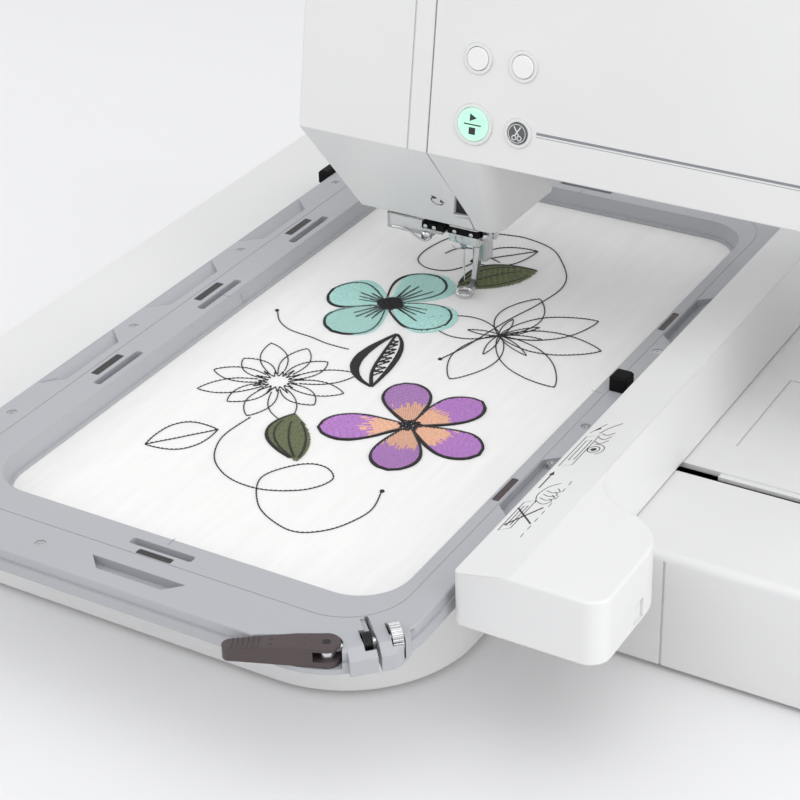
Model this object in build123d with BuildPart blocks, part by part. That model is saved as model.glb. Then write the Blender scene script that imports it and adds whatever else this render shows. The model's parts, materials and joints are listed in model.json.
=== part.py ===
"""Embroidery machine with a large clamped hoop, an X-Y carriage and an extension table.

Millimetres. +X is the machine's right, +Y its back, +Z up. The origin is at the floor, in the
middle of the footprint. The rest position has the carriage and the hoop where they stand ready
to sew, the needle raised and the embroidery foot lowered.
"""

import os
from math import atan2, cos, degrees, hypot, radians, sin, sqrt

from build123d import *

os.makedirs("parts", exist_ok=True)

# ---------------------------------------------------------------- driving dimensions
foot_height = 3.0
bed_top = 67.0
cloth_bottom = 70.6
cloth_top = 71.2
wall = 3.0
running_gap = 0.05

needle_x = -117.0
needle_y = 67.0

# hoop: the opening, the joint line between the two rings, and the outer edge
opening_x = (-221.0, -1.0)
opening_y = (-224.0, 198.6)
joint_x = (-243.0, 9.0)
joint_y = (-245.3, 220.0)
ring_x = (-260.5, 22.0)
ring_y = (-271.5, 246.1)
ring_bottom = 70.0
ring_top = 81.6
opening_radius = 22.0
joint_radius = 32.0
ring_radius = 45.0
flange_proud = 1.2
flange_top = 75.8
joint_gap = 0.3

# hoop accessories, in the hoop's own layout
magnet_rows = (-107.5, -12.5, 82.0)
front_feature_x = -110.0
scoop_reach = (1.3, 12.5)
scoop_half = (33.0, 23.0)
scoop_depth = 4.6
left_screw_y = (-171.0, -66.0, 40.0, 146.0)
right_screw_y = (-84.4, -46.0, 41.5)
front_screw_x = -163.4
right_plate_y = (-117.0, 74.5)
lock_place = (13.6, -3.3)
lock_top = 90.3

# hoop clamp at the front right corner: its line runs at 45 degrees to the sides
clamp_x = 9.76
clamp_y = -247.06
clamp_z = 78.5
clamp_pivot = -21.0
clamp_nut_place = 9.5
clamp_nut_length = 4.8
clamp_nut_radius = 6.8
lever_tip = (-43.6, -279.8)
lever_swing = 95

# base, table, column and arm
base_x = (-201.0, 320.0)
base_y = (-112.0, 196.0)
base_bottom = foot_height
slot_y = (-41.4, -32.8)
slot_x = (-76.0, 160.0)
slot_step_x = 82.0
table_x = (-331.0, 1.0)
table_y = (-210.0, 251.0)
table_gap = 0.6
front_seam_x = 87.0

arm_x = (-190.0, 170.8)
arm_bottom = 181.0
arm_back = 165.0
machine_top = 312.0
face_foot_y = 16.0
face_lean = 0.17
nose_bottom = 122.0
nose_front_y = 53.0
nose_back_y = 118.0
nose_left_x = -175.0
nose_right_x = -88.0
nose_shoulder_x = -75.0
nose_edge_radius = 9.0
door_seam_x = -110.9
door_foot_x = -102.6
door_notch_x = -112.2
door_notch_z = (132.3, 149.6)
door_notch_top_x = -105.7
door_groove_x = -122.7
door_top = 296.0
split_y = 95.0
column_x = (171.1, 318.0)
lid_x = (-165.0, 145.0)
lid_y = (52.0, 157.0)
lid_thickness = 3.2

# drive line
main_y = 95.0
main_z = 265.0
lower_y = 70.0
lower_z = 24.0
shaft_radius = 5.0
lower_radius = 4.0
belt_x = (250.0, 262.0)
pulley_radius = 15.0
handwheel_x = (318.8, 331.0)

# hook and needle
hook_y = 48.0
hook_radius = 17.0
needle_tip = 81.0
needle_bar_radius = 3.0
presser_x = -115.0
presser_y = 85.0
presser_radius = 4.0

# carriage (at rest) and its drives
carriage_bottom = 67.8
carriage_top = 101.0
carriage_left = 26.0
carriage_ridge = 54.0
carriage_foot_right = 62.0
carriage_left_top = 95.0
carriage_y = (-206.5, 283.4)
head_right = 99.0
head_bend_y = (-160.0, -105.0)
carriage_wall = 2.5
rod_radius = 4.0
x_rod_y = (-62.0, -12.0)
x_rod_z = 40.0
x_belt_z = 20.0
x_pulley_radius = 6.0
x_pulley_x = (-116.0, 196.0)
y_rod = (42.0, 83.0)
y_belt_z = 78.0
y_pulley_radius = 4.0
y_pulley_y = (-180.0, 274.0)
bracket_y = (-39.0, 1.0)

# front controls on the leaning face: x, z and radius
start_button = (-84.5, 201.0, 8.8)
cutter_button = (-58.7, 201.0, 5.6)
needle_button = (-84.5, 235.0, 6.0)
presser_button = (-58.7, 235.0, 6.0)
screen_x = (188.0, 302.0)
screen_z = (196.0, 284.0)


# ---------------------------------------------------------------- helpers
def block(x, y, z, mode=Mode.ADD, radius=0.0):
    """A straight block between two x, two y and two z values; radius rounds its upright edges."""
    middle = ((x[0] + x[1]) / 2, (y[0] + y[1]) / 2)
    with BuildSketch(Plane.XY.offset(z[0])) as plan:
        with Locations(middle):
            if radius:
                RectangleRounded(x[1] - x[0], y[1] - y[0], radius)
            else:
                Rectangle(x[1] - x[0], y[1] - y[0])
    extrude(plan.sketch, amount=z[1] - z[0], mode=mode)


def rod(start, axis, length, radius, mode=Mode.ADD):
    """A round bar from a point along an axis."""
    with BuildSketch(Plane(origin=start, z_dir=axis)) as end:
        Circle(radius)
    extrude(end.sketch, amount=length, mode=mode)


def prism_x(points, x, mode=Mode.ADD):
    """A side profile of (y, z) points, drawn out along X."""
    with BuildSketch(Plane.YZ.offset(x[0])) as side:
        with BuildLine():
            Polyline(*points, close=True)
        make_face()
    extrude(side.sketch, amount=x[1] - x[0], mode=mode)


def prism_y(points, y, mode=Mode.ADD):
    """A front profile of (x, z) points, drawn out along Y."""
    with BuildSketch(Plane(origin=(0, y[0], 0), x_dir=(1, 0, 0), z_dir=(0, -1, 0))) as front:
        with BuildLine():
            Polyline(*points, close=True)
        make_face()
    extrude(front.sketch, amount=y[1] - y[0], dir=(0, 1, 0), mode=mode)


def prism_z(points, z, mode=Mode.ADD):
    """A plan outline of (x, y) points, drawn up along Z."""
    with BuildSketch(Plane.XY.offset(z[0])) as plan:
        with BuildLine():
            Polyline(*points, close=True)
        make_face()
    extrude(plan.sketch, amount=z[1] - z[0], mode=mode)


def belt_loop(plane, start, end, radius, thickness, width):
    """A flat belt round two equal pulleys, drawn in a plane from one centre to the other."""
    across = (end[0] - start[0], end[1] - start[1])
    turn = degrees(atan2(across[1], across[0]))
    with BuildSketch(plane) as loop:
        with Locations(((start[0] + end[0]) / 2, (start[1] + end[1]) / 2)):
            SlotCenterToCenter(hypot(*across), 2 * (radius + thickness), rotation=turn)
            SlotCenterToCenter(hypot(*across), 2 * radius, rotation=turn, mode=Mode.SUBTRACT)
    extrude(loop.sketch, amount=width)


def save(piece, name):
    """Labels a finished piece and writes its STEP file."""
    piece.part.label = name
    export_step(piece.part, f"parts/{name}.step")


def face_y(z):
    """Where the leaning front face stands at a height."""
    return face_foot_y + face_lean * (z - arm_bottom)


def face_plane(x, z, proud=0.0):
    """A plane on the leaning front face, looking out of it."""
    size = sqrt(1 + face_lean**2)
    out = (0, -1 / size, face_lean / size)
    return Plane(
        origin=(x, face_y(z) + proud * out[1], z + proud * out[2]), x_dir=(1, 0, 0), z_dir=out
    )


def clamp_point(along, out, z=clamp_z):
    """A point by its distance along the clamp screw and outwards from it."""
    half = sqrt(0.5)
    return (clamp_x + (along + out) * half, clamp_y + (along - out) * half, z)


clamp_axis = (sqrt(0.5), sqrt(0.5), 0)


def clamp_prism(corners, z, mode=Mode.ADD):
    """An upright prism whose corners are given along and across the clamp screw."""
    prism_z([clamp_point(along, out)[:2] for along, out in corners], z, mode)


def clamp_block(along, out, z, mode=Mode.ADD):
    """A block whose sides lie along and across the clamp screw."""
    corners = ((along[0], out[0]), (along[1], out[0]), (along[1], out[1]), (along[0], out[1]))
    clamp_prism(corners, z, mode)


# ---------------------------------------------------------------- head and column volumes
def side_profile(foot, inset):
    """Draws the arm's side outline from a foot height up, moved inwards by inset."""
    front = inset * sqrt(1 + face_lean**2)
    top = machine_top - inset
    back = arm_back - inset
    with BuildLine() as outline:
        face = Line((face_y(foot) + front, foot), (face_y(296.0) + front, 296.0))
        brow = TangentArc(face @ 1, (50.0, top), tangent=face % 1)
        crown = Line(brow @ 1, (back - 8.0, top))
        shoulder = RadiusArc(crown @ 1, (back, top - 8.0), 8.0)
        Polyline(shoulder @ 1, (back, foot), face @ 0)
    make_face(outline.edges())


def arm_volume(inset):
    """The arm with its nose: the whole outside, or with an inset the room inside the walls."""
    floor = arm_bottom + inset
    with BuildPart() as volume:
        with BuildSketch(Plane.YZ.offset(arm_x[0] + inset)):
            side_profile(floor, inset)
        extrude(amount=arm_x[1] - arm_x[0] - inset + (1.0 if inset else 0.0))
    drop = 2.0 if inset else 0.0
    slope = (nose_front_y - face_foot_y) / (arm_bottom - nose_bottom)
    front = inset * sqrt(1 + slope**2)
    low = nose_bottom - drop
    with BuildPart() as nose:
        prism_x(
            (
                (face_foot_y + front, arm_bottom),
                (nose_front_y + front + slope * drop, low),
                (nose_back_y - inset, low),
                (nose_back_y - inset, floor),
                (face_foot_y + front + 1.0, floor),
            ),
            (arm_x[0] - 1, arm_x[1]),
        )
        lean = (nose_left_x - arm_x[0]) / (arm_bottom - nose_bottom)
        with BuildSketch(Plane(origin=(0, 0, 0), x_dir=(1, 0, 0), z_dir=(0, -1, 0))):
            with BuildLine():
                Polyline(
                    (arm_x[0] + inset, floor + 0.5),
                    (arm_x[0] + inset, arm_bottom),
                    (nose_left_x + inset + lean * drop, low),
                    (nose_right_x - inset, low),
                    (nose_shoulder_x - inset, floor + 0.5),
                    close=True,
                )
            make_face()
        extrude(amount=-200, mode=Mode.INTERSECT)
        halfway = (
            (nose_shoulder_x + nose_right_x) / 2 - inset,
            (face_foot_y + nose_front_y) / 2 + front,
            (arm_bottom + nose_bottom) / 2,
        )
        fillet(nose.edges().sort_by_distance(halfway)[0], nose_edge_radius - inset)
    with BuildPart() as whole:
        add(volume.part)
        add(nose.part)
    return whole.part


arm_outside = arm_volume(0.0)
arm_inside = arm_volume(wall)


def door_outline(gap):
    """The hinged face cover's outline in front view, with its edge moved right by gap."""
    return (
        (arm_x[0] - 2, nose_bottom - 3),
        (door_foot_x + gap, nose_bottom - 3),
        (door_foot_x + gap, door_notch_z[0]),
        (door_notch_top_x + gap, door_notch_z[1]),
        (door_seam_x + gap, arm_bottom),
        (door_seam_x + gap, door_top + gap),
        (arm_x[0] - 2, door_top + gap),
    )


door_front = (-5.0, split_y - 0.3)

# ---------------------------------------------------------------- base and table
with BuildPart() as base_cover:
    block(base_x, base_y, (base_bottom, bed_top), radius=8.0)
    fillet(base_cover.faces().sort_by(Axis.Z)[-1].edges(), 4.0)
    block(
        (base_x[0] + wall, base_x[1] - wall),
        (base_y[0] + wall, base_y[1] - wall),
        (base_bottom - 1, bed_top - wall),
        Mode.SUBTRACT,
        5.0,
    )
    block((slot_x[0], slot_step_x), slot_y, (bed_top - 4, bed_top + 1), Mode.SUBTRACT)
    block((slot_x[0], slot_x[1]), (slot_y[0], slot_y[0] + 5.2), (bed_top - 4, bed_top + 1), Mode.SUBTRACT)
    block((slot_x[0], slot_x[1]), slot_y, (bed_top - 0.8, bed_top + 1), Mode.SUBTRACT)
    block((-165.3, -69.7), (9.7, 105.3), (bed_top - 1.55, bed_top + 1), Mode.SUBTRACT, 3.3)
    block((-147.0, -87.0), (20.0, 84.0), (bed_top - 4, bed_top + 1), Mode.SUBTRACT, 4.0)
    block((182.0, 308.0), (22.0, 152.0), (bed_top - 4, bed_top + 1), Mode.SUBTRACT, 4.0)
    block(
        (front_seam_x - 0.5, front_seam_x + 0.5),
        (base_y[0] - 1, base_y[0] + 0.9),
        (base_bottom - 1, bed_top - 4),
        Mode.SUBTRACT,
    )
    for strip_x, strip_y in (((79.0, 79.7), (-6.0, 69.0)), ((79.0, 168.0), (68.6, 69.3))):
        block(strip_x, strip_y, (bed_top - 0.5, bed_top + 1), Mode.SUBTRACT)
save(base_cover, "base_cover")

with BuildPart() as base_tray:
    block(
        (base_x[0] + wall + 0.2, base_x[1] - wall - 0.2),
        (base_y[0] + wall + 0.2, base_y[1] - wall - 0.2),
        (base_bottom, base_bottom + 2),
        radius=4.8,
    )
save(base_tray, "base_tray")

base_feet = ((-180.0, -92.0), (298.0, -92.0), (298.0, 176.0), (-180.0, 176.0))
table_feet = ((-312.0, -188.0), (-312.0, 230.0), (-224.0, 230.0), (-60.0, -188.0))
with BuildPart() as rubber_feet:
    with BuildSketch(Plane.XY):
        with Locations(*base_feet, *table_feet):
            Circle(9.0)
    extrude(amount=foot_height)
save(rubber_feet, "rubber_feet")


def table_outline(inset):
    """The table's plan: one strip in front of the base and one beside it, with round corners."""
    left = table_x[0] + inset
    right = table_x[1] - inset
    front = table_y[0] + inset
    back = table_y[1] - inset
    notch_x = base_x[0] - table_gap - inset
    notch_y = base_y[0] - table_gap - inset
    small = 14.0 - inset
    large = 70.0 - inset
    with BuildLine() as outline:
        Line((left + small, front), (right - large, front))
        RadiusArc((right - large, front), (right, front + large), -large)
        Polyline((right, front + large), (right, notch_y), (notch_x, notch_y), (notch_x, back))
        Line((notch_x, back), (left + small, back))
        RadiusArc((left + small, back), (left, back - small), -small)
        Line((left, back - small), (left, front + small))
        RadiusArc((left, front + small), (left + small, front), -small)
    make_face(outline.edges())


with BuildPart() as extension_table:
    with BuildSketch(Plane.XY.offset(base_bottom)):
        table_outline(0.0)
    extrude(amount=bed_top - base_bottom)
    rim = extension_table.faces().sort_by(Axis.Z)[-1].edges()
    outer_rim = rim.filter_by(
        lambda edge: edge.center().X < base_x[0] - 20 or edge.center().Y < base_y[0] - 20
    )
    fillet(outer_rim, 4.0)
    with BuildSketch(Plane.XY.offset(base_bottom - 1)):
        table_outline(wall)
    extrude(amount=bed_top - base_bottom - wall + 1, mode=Mode.SUBTRACT)
    with BuildSketch(Plane.XY.offset(base_bottom)):
        with Locations(*table_feet):
            Circle(8.0)
    extrude(amount=bed_top - base_bottom - 1)
save(extension_table, "extension_table")

with BuildPart() as needle_plate:
    block((-165.0, -70.0), (10.0, 105.0), (bed_top - 1.5, bed_top), radius=3.0)
    block((-139.0, -95.0), (24.0, 60.0), (bed_top - 2, bed_top + 1), Mode.SUBTRACT, 3.0)
    rod((needle_x, needle_y, bed_top - 2), (0, 0, 1), 4.0, 1.2, Mode.SUBTRACT)
    for screw_x in (-158.0, -77.0):
        rod((screw_x, 80.0, bed_top - 0.6), (0, 0, 1), 2.0, 3.2, Mode.SUBTRACT)
save(needle_plate, "needle_plate")

with BuildPart() as bobbin_cover:
    block((-138.7, -95.3), (24.3, 59.7), (bed_top - 1.4, bed_top), radius=2.8)
save(bobbin_cover, "bobbin_cover")

# ---------------------------------------------------------------- head and column casings
with BuildPart() as face_cover:
    add(arm_outside)
    add(arm_inside, mode=Mode.SUBTRACT)
    prism_y(door_outline(-0.4), door_front, Mode.INTERSECT)
    prism_x(
        (
            (face_y(arm_bottom) - 2, arm_bottom),
            (face_y(arm_bottom) + 0.6, arm_bottom),
            (face_y(300.0) + 0.6, 300.0),
            (face_y(300.0) - 2, 300.0),
        ),
        (door_groove_x - 0.4, door_groove_x + 0.4),
        Mode.SUBTRACT,
    )
    chin_slope = (nose_front_y - face_foot_y) / (arm_bottom - nose_bottom)
    with BuildPart() as edge_bevel:
        for z, start_x, seam_x in (
            (arm_bottom - 3.0, door_seam_x - 0.2, door_seam_x),
            (door_notch_z[0] - 2.0, door_notch_x, door_foot_x),
        ):
            chin_y = face_foot_y + chin_slope * (arm_bottom - z)
            with BuildSketch(Plane.XY.offset(z)):
                with BuildLine():
                    Polyline(
                        (start_x, chin_y - 2.0),
                        (seam_x + 2.0, chin_y - 2.0),
                        (seam_x + 2.0, chin_y + (seam_x - start_x) * 0.25),
                        (start_x, chin_y),
                        close=True,
                    )
                make_face()
        loft(ruled=True)
    add(edge_bevel.part, mode=Mode.SUBTRACT)
    finger_notch = (
        (door_notch_x, door_notch_z[0]),
        (door_foot_x + 2.0, door_notch_z[0]),
        (door_foot_x + 2.0, door_notch_z[1]),
        (door_notch_top_x, door_notch_z[1]),
    )
    prism_y(finger_notch, (25.0, 60.0), Mode.SUBTRACT)
save(face_cover, "face_cover")

with BuildPart() as arm_front_cover:
    add(arm_outside)
    add(arm_inside, mode=Mode.SUBTRACT)
    block((-200.0, 180.0), (split_y - 0.2, 170.0), (arm_bottom - 0.2, 320.0), Mode.SUBTRACT)
    prism_y(door_outline(0.4), (-6.0, split_y), Mode.SUBTRACT)
    block((lid_x[0] - 0.5, lid_x[1] + 0.5), (lid_y[0] - 0.5, 120.0), (305.0, 320.0), Mode.SUBTRACT)
    for x, z, radius in (start_button, cutter_button, needle_button, presser_button):
        with BuildSketch(face_plane(x, z, 0.8)):
            Circle(radius + 2.2)
        extrude(amount=-2.0)
        with BuildSketch(face_plane(x, z, 2.0)):
            Circle(radius + 0.25)
        extrude(amount=-8.0, mode=Mode.SUBTRACT)
save(arm_front_cover, "arm_front_cover")

with BuildPart() as arm_rear_cover:
    add(arm_outside)
    add(arm_inside, mode=Mode.SUBTRACT)
    block((-200.0, 180.0), (split_y + 0.2, 170.0), (arm_bottom, 320.0), Mode.INTERSECT)
    block(
        (lid_x[0] - 0.5, lid_x[1] + 0.5), (60.0, lid_y[1] + 0.5), (305.0, 320.0), Mode.SUBTRACT
    )
save(arm_rear_cover, "arm_rear_cover")

with BuildPart() as top_lid:
    block(lid_x, lid_y, (machine_top - lid_thickness, machine_top), radius=6.0)
    block((-20.0, 20.0), (lid_y[0] - 1, lid_y[0] + 3.0), (308.0, 310.2), Mode.SUBTRACT)
save(top_lid, "top_lid")

with BuildPart() as column_cover:
    with BuildSketch(Plane.YZ.offset(column_x[0])):
        side_profile(bed_top, 0.0)
    extrude(amount=column_x[1] - column_x[0])
    with BuildSketch(Plane.YZ.offset(column_x[0] + wall)):
        side_profile(bed_top - 1, wall)
    extrude(amount=column_x[1] - column_x[0] - 2 * wall, mode=Mode.SUBTRACT)
    block((160.0, 180.0), (48.0, 152.0), (190.0, 290.0), Mode.SUBTRACT)
    rod((310.0, main_y, main_z), (1, 0, 0), 12.0, 8.0, Mode.SUBTRACT)
    block((310.0, 322.0), (100.0, 128.0), (84.0, 104.0), Mode.SUBTRACT)
    block((310.0, 322.0), (133.5, 150.5), (83.5, 104.5), Mode.SUBTRACT)
    middle = ((screen_x[0] + screen_x[1]) / 2, (screen_z[0] + screen_z[1]) / 2)
    with BuildSketch(face_plane(middle[0], middle[1], 1.0)):
        RectangleRounded(screen_x[1] - screen_x[0] + 0.6, screen_z[1] - screen_z[0] + 0.6, 4.3)
    extrude(amount=-3.05, mode=Mode.SUBTRACT)
save(column_cover, "column_cover")

with BuildPart() as touch_screen:
    with BuildSketch(face_plane(middle[0], middle[1], -2.0)):
        RectangleRounded(screen_x[1] - screen_x[0], screen_z[1] - screen_z[0], 4.0)
    extrude(amount=2.0)
save(touch_screen, "touch_screen")


def front_button(name, place):
    """A round push button in the leaning face, 2 mm proud, with a smaller stem behind."""
    x, z, radius = place
    with BuildPart() as button:
        with BuildSketch(face_plane(x, z, -3.5)):
            Circle(radius)
        extrude(amount=5.0)
        fillet(button.edges().sort_by(Axis.Y)[0], 0.6)
        with BuildSketch(face_plane(x, z, -3.5)):
            Circle(radius * 0.5)
        extrude(amount=-3.5)
    save(button, name)


front_button("start_stop_button", start_button)
front_button("thread_cutter_button", cutter_button)
front_button("needle_position_button", needle_button)
front_button("presser_foot_button", presser_button)

# ---------------------------------------------------------------- frame and drive line
with BuildPart() as machine_frame:
    block((-160.0, 300.0), (115.0, 150.0), (10.0, 45.0))
    block((200.0, 235.0), (115.0, 150.0), (45.0, 235.0))
    block((-160.0, 235.0), (115.0, 150.0), (200.0, 235.0))
    block((-132.0, -100.0), (55.0, 116.0), (205.0, 213.0))
    block((-132.0, -100.0), (55.0, 114.5), (160.0, 168.0))
    block((-132.0, -100.0), (108.0, 114.5), (168.0, 205.0))
    rod((needle_x, needle_y, 150.0), (0, 0, 1), 80, needle_bar_radius + running_gap, Mode.SUBTRACT)
    rod((presser_x, presser_y, 150.0), (0, 0, 1), 80, presser_radius + running_gap, Mode.SUBTRACT)
    for bearing_x in (-100.0, 184.0):
        block((bearing_x, bearing_x + 8), (82.0, 125.0), (225.0, 278.0))
    rod((-150.0, main_y, main_z), (1, 0, 0), 400, shaft_radius + running_gap, Mode.SUBTRACT)
    for bearing_x in (-150.0, 236.0):
        block((bearing_x, bearing_x + 8), (58.0, 116.0), (12.0, 36.0))
    rod((-160.0, lower_y, lower_z), (1, 0, 0), 430, lower_radius + running_gap, Mode.SUBTRACT)
save(machine_frame, "machine_frame")

with BuildPart() as main_shaft:
    rod((-122.0, main_y, main_z), (1, 0, 0), handwheel_x[1] - 3 + 122.0, shaft_radius)
    rod((-122.0, main_y, main_z), (1, 0, 0), 7.0, 16.0)
    rod((belt_x[0], main_y, main_z), (1, 0, 0), belt_x[1] - belt_x[0], pulley_radius)
save(main_shaft, "main_shaft")

with BuildPart() as handwheel:
    with BuildSketch(Plane.YZ.offset(handwheel_x[0])):
        with Locations((main_y, main_z)):
            Circle(34.0)
            Circle(shaft_radius, mode=Mode.SUBTRACT)
            with PolarLocations(34.6, 30):
                Circle(1.6, mode=Mode.SUBTRACT)
    extrude(amount=handwheel_x[1] - handwheel_x[0])
    with BuildSketch(Plane.YZ.offset(handwheel_x[1] - 3)):
        with Locations((main_y, main_z)):
            Circle(24.0)
    extrude(amount=4, mode=Mode.SUBTRACT)
save(handwheel, "handwheel")

with BuildPart() as lower_shaft:
    rod((-152.0, lower_y, lower_z), (1, 0, 0), belt_x[1] + 152.0, lower_radius)
    rod((-122.0, lower_y, lower_z), (1, 0, 0), 10.0, 12.4)
    rod((belt_x[0], lower_y, lower_z), (1, 0, 0), belt_x[1] - belt_x[0], pulley_radius)
save(lower_shaft, "lower_shaft")

with BuildPart() as drive_belt:
    belt_loop(
        Plane.YZ.offset(belt_x[0] + 1), (main_y, main_z), (lower_y, lower_z), pulley_radius + 0.1, 1.6, 10.0
    )
save(drive_belt, "drive_belt")

with BuildPart() as main_motor:
    rod((184.5, 84.0, 150.0), (1, 0, 0), 58.0, 24.0)
    rod((184.5, 84.0, 150.0), (1, 0, 0), 66.0, 4.0)
    rod((belt_x[0] + 1, 84.0, 150.0), (1, 0, 0), 10.0, 13.5)
    block((196.0, 226.0), (84.0, 114.6), (138.0, 162.0))
save(main_motor, "main_motor")

with BuildPart() as rotary_hook:
    rod((needle_x, hook_y, 44.0), (0, 0, 1), 16.0, hook_radius)
    rod((needle_x, hook_y, 46.0), (0, 0, 1), 20.0, hook_radius - 1.2, Mode.SUBTRACT)
    rod((needle_x, hook_y, 12.0), (0, 0, 1), 32.5, 4.0)
    rod((needle_x, hook_y, 20.0), (0, 0, 1), 8.0, 9.0)
save(rotary_hook, "rotary_hook")

with BuildPart() as bobbin_case:
    rod((needle_x, hook_y, 46.4), (0, 0, 1), 15.6, 15.2)
    rod((needle_x, hook_y, 48.0), (0, 0, 1), 20.0, 14.2, Mode.SUBTRACT)
    rod((needle_x, hook_y, 47.5), (0, 0, 1), 9.0, 2.9)
save(bobbin_case, "bobbin_case")

with BuildPart() as bobbin:
    rod((needle_x, hook_y, 48.4), (0, 0, 1), 1.0, 10.3)
    rod((needle_x, hook_y, 58.6), (0, 0, 1), 1.0, 10.3)
    rod((needle_x, hook_y, 48.4), (0, 0, 1), 11.2, 4.2)
    rod((needle_x, hook_y, 48.0), (0, 0, 1), 14.0, 2.95, Mode.SUBTRACT)
save(bobbin, "bobbin")

# ---------------------------------------------------------------- needle, foot and threader
with BuildPart() as needle_bar:
    rod((needle_x, needle_y, 110.0), (0, 0, 1), 115.0, needle_bar_radius)
    block((-125.0, -105.5), (62.5, 72.5), (106.5, 116.5), radius=1.5)
    rod((-105.5, needle_y, 112.0), (1, 0, 0), 5.0, 2.6)
    rod((needle_x, needle_y, 104.5), (0, 0, 1), 3.0, 2.2)
    rod((needle_x, needle_y, 104.0), (0, 0, 1), 9.0, 1.0, Mode.SUBTRACT)
save(needle_bar, "needle_bar")

with BuildPart() as needle:
    rod((needle_x, needle_y, 101.0), (0, 0, 1), 12.0, 1.0)
    rod((needle_x, needle_y, needle_tip + 2), (0, 0, 1), 18.5, 0.4)
    with BuildSketch(Plane.XY.offset(needle_tip + 2)):
        with Locations((needle_x, needle_y)):
            Circle(0.4)
    extrude(amount=-2.0, taper=9.0)
save(needle, "needle")

with BuildPart() as presser_bar:
    rod((presser_x, presser_y, 112.0), (0, 0, 1), 106.0, presser_radius)
save(presser_bar, "presser_bar")

with BuildPart() as embroidery_foot:
    block((presser_x - 4.5, presser_x + 4.5), (80.5, 90.5), (88.0, 112.0), radius=1.5)
    rod((presser_x + 4.5, presser_y, 105.0), (1, 0, 0), 4.5, 3.2)
    arm_points = ((84.0, 90.0), (84.0, 96.0), (80.5, 96.0), (76.0, 78.0), (70.6, 73.8), (70.6, 72.2), (77.0, 72.2))
    prism_x(arm_points, (presser_x - 2.5, presser_x + 0.5))
    with BuildSketch(Plane.XY.offset(72.2)):
        with Locations((needle_x, needle_y)):
            Circle(4.8)
            Circle(2.9, mode=Mode.SUBTRACT)
    extrude(amount=1.6)
save(embroidery_foot, "embroidery_foot")

with BuildPart() as needle_threader:
    block((-166.0, -136.0), (64.0, 72.0), (105.5, 114.5), radius=2.0)
    block((-140.0, -127.5), (60.5, 66.0), (110.0, 116.0))
    rod((-150.0, 68.0, 112.0), (0, 0, 1), 60.0, 2.5)
save(needle_threader, "needle_threader")

with BuildPart() as take_up_lever:
    with BuildSketch(Plane.YZ.offset(-112.5)):
        with Locations((86.0, 238.0)):
            Circle(6.0)
            Circle(2.0, mode=Mode.SUBTRACT)
        with BuildLine():
            Polyline((84.0, 243.0), (45.0, 264.0), (43.5, 260.0), (81.0, 235.0), close=True)
        make_face()
        with Locations((45.0, 262.0)):
            Circle(3.4)
            Circle(1.4, mode=Mode.SUBTRACT)
    extrude(amount=3.0)
save(take_up_lever, "take_up_lever")

with BuildPart() as spool_pin:
    block((62.0, 68.0), (106.0, 134.0), (236.0, 304.0))
    rod((-24.0, 120.0, 292.0), (1, 0, 0), 87.0, 3.0)
    rod((58.0, 120.0, 292.0), (1, 0, 0), 5.0, 12.0)
save(spool_pin, "spool_pin")

# ---------------------------------------------------------------- electrics
with BuildPart() as power_inlet:
    block((298.0, 318.0), (100.3, 127.7), (84.3, 103.7), radius=1.5)
    block((303.0, 320.0), (104.0, 124.0), (88.0, 100.0), Mode.SUBTRACT)
    for pin_y in (110.0, 118.0):
        rod((302.5, pin_y, 94.0), (1, 0, 0), 9.0, 1.2)
save(power_inlet, "power_inlet")

with BuildPart() as power_switch:
    prism_y(
        ((308.0, 86.0), (318.0, 86.0), (318.0, 94.0), (320.2, 102.0), (308.0, 102.0)),
        (134.2, 149.8),
    )
save(power_switch, "power_switch")

with BuildPart() as circuit_board:
    block((120.0, 300.0), (155.0, 157.0), (8.0, 58.0))
    for chip_x in (150.0, 200.0, 250.0):
        block((chip_x, chip_x + 22.0), (157.0, 163.0), (20.0, 42.0))
save(circuit_board, "circuit_board")

# ---------------------------------------------------------------- X drive in the base
with BuildPart() as x_guide_rods:
    for end_x in (-104.0, 176.0):
        block((end_x, end_x + 8), (-74.0, -2.0), (5.0, 50.0))
        block((end_x - 1, end_x + 9), (-31.0, -19.0), (10.0, 30.0), Mode.SUBTRACT)
    for rod_y in x_rod_y:
        rod((-100.0, rod_y, x_rod_z), (1, 0, 0), 280.0, rod_radius)
save(x_guide_rods, "x_guide_rods")

with BuildPart() as x_belt:
    belt_loop(
        Plane(origin=(0, -22.0, 0), x_dir=(1, 0, 0), z_dir=(0, -1, 0)),
        (x_pulley_x[0], x_belt_z),
        (x_pulley_x[1], x_belt_z),
        x_pulley_radius + 0.1,
        1.0,
        6.0,
    )
save(x_belt, "x_belt")

for pulley_name, pulley_x, bore in (("x_idler", x_pulley_x[0], 0.0), ("x_pulley", x_pulley_x[1], 2.05)):
    with BuildPart() as x_wheel:
        rod((pulley_x, -21.0, x_belt_z), (0, -1, 0), 8.0, x_pulley_radius)
        if bore:
            rod((pulley_x, -20.0, x_belt_z), (0, -1, 0), 10.0, bore, Mode.SUBTRACT)
        else:
            rod((pulley_x, -12.0, x_belt_z), (0, -1, 0), 26.0, 2.0)
    save(x_wheel, pulley_name)

with BuildPart() as x_motor:
    block((188.0, 216.0), (-18.0, 16.0), (6.0, 36.0), radius=3.0)
    rod((x_pulley_x[1], -18.0, x_belt_z), (0, -1, 0), 10.0, 2.0)
save(x_motor, "x_motor")


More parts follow.
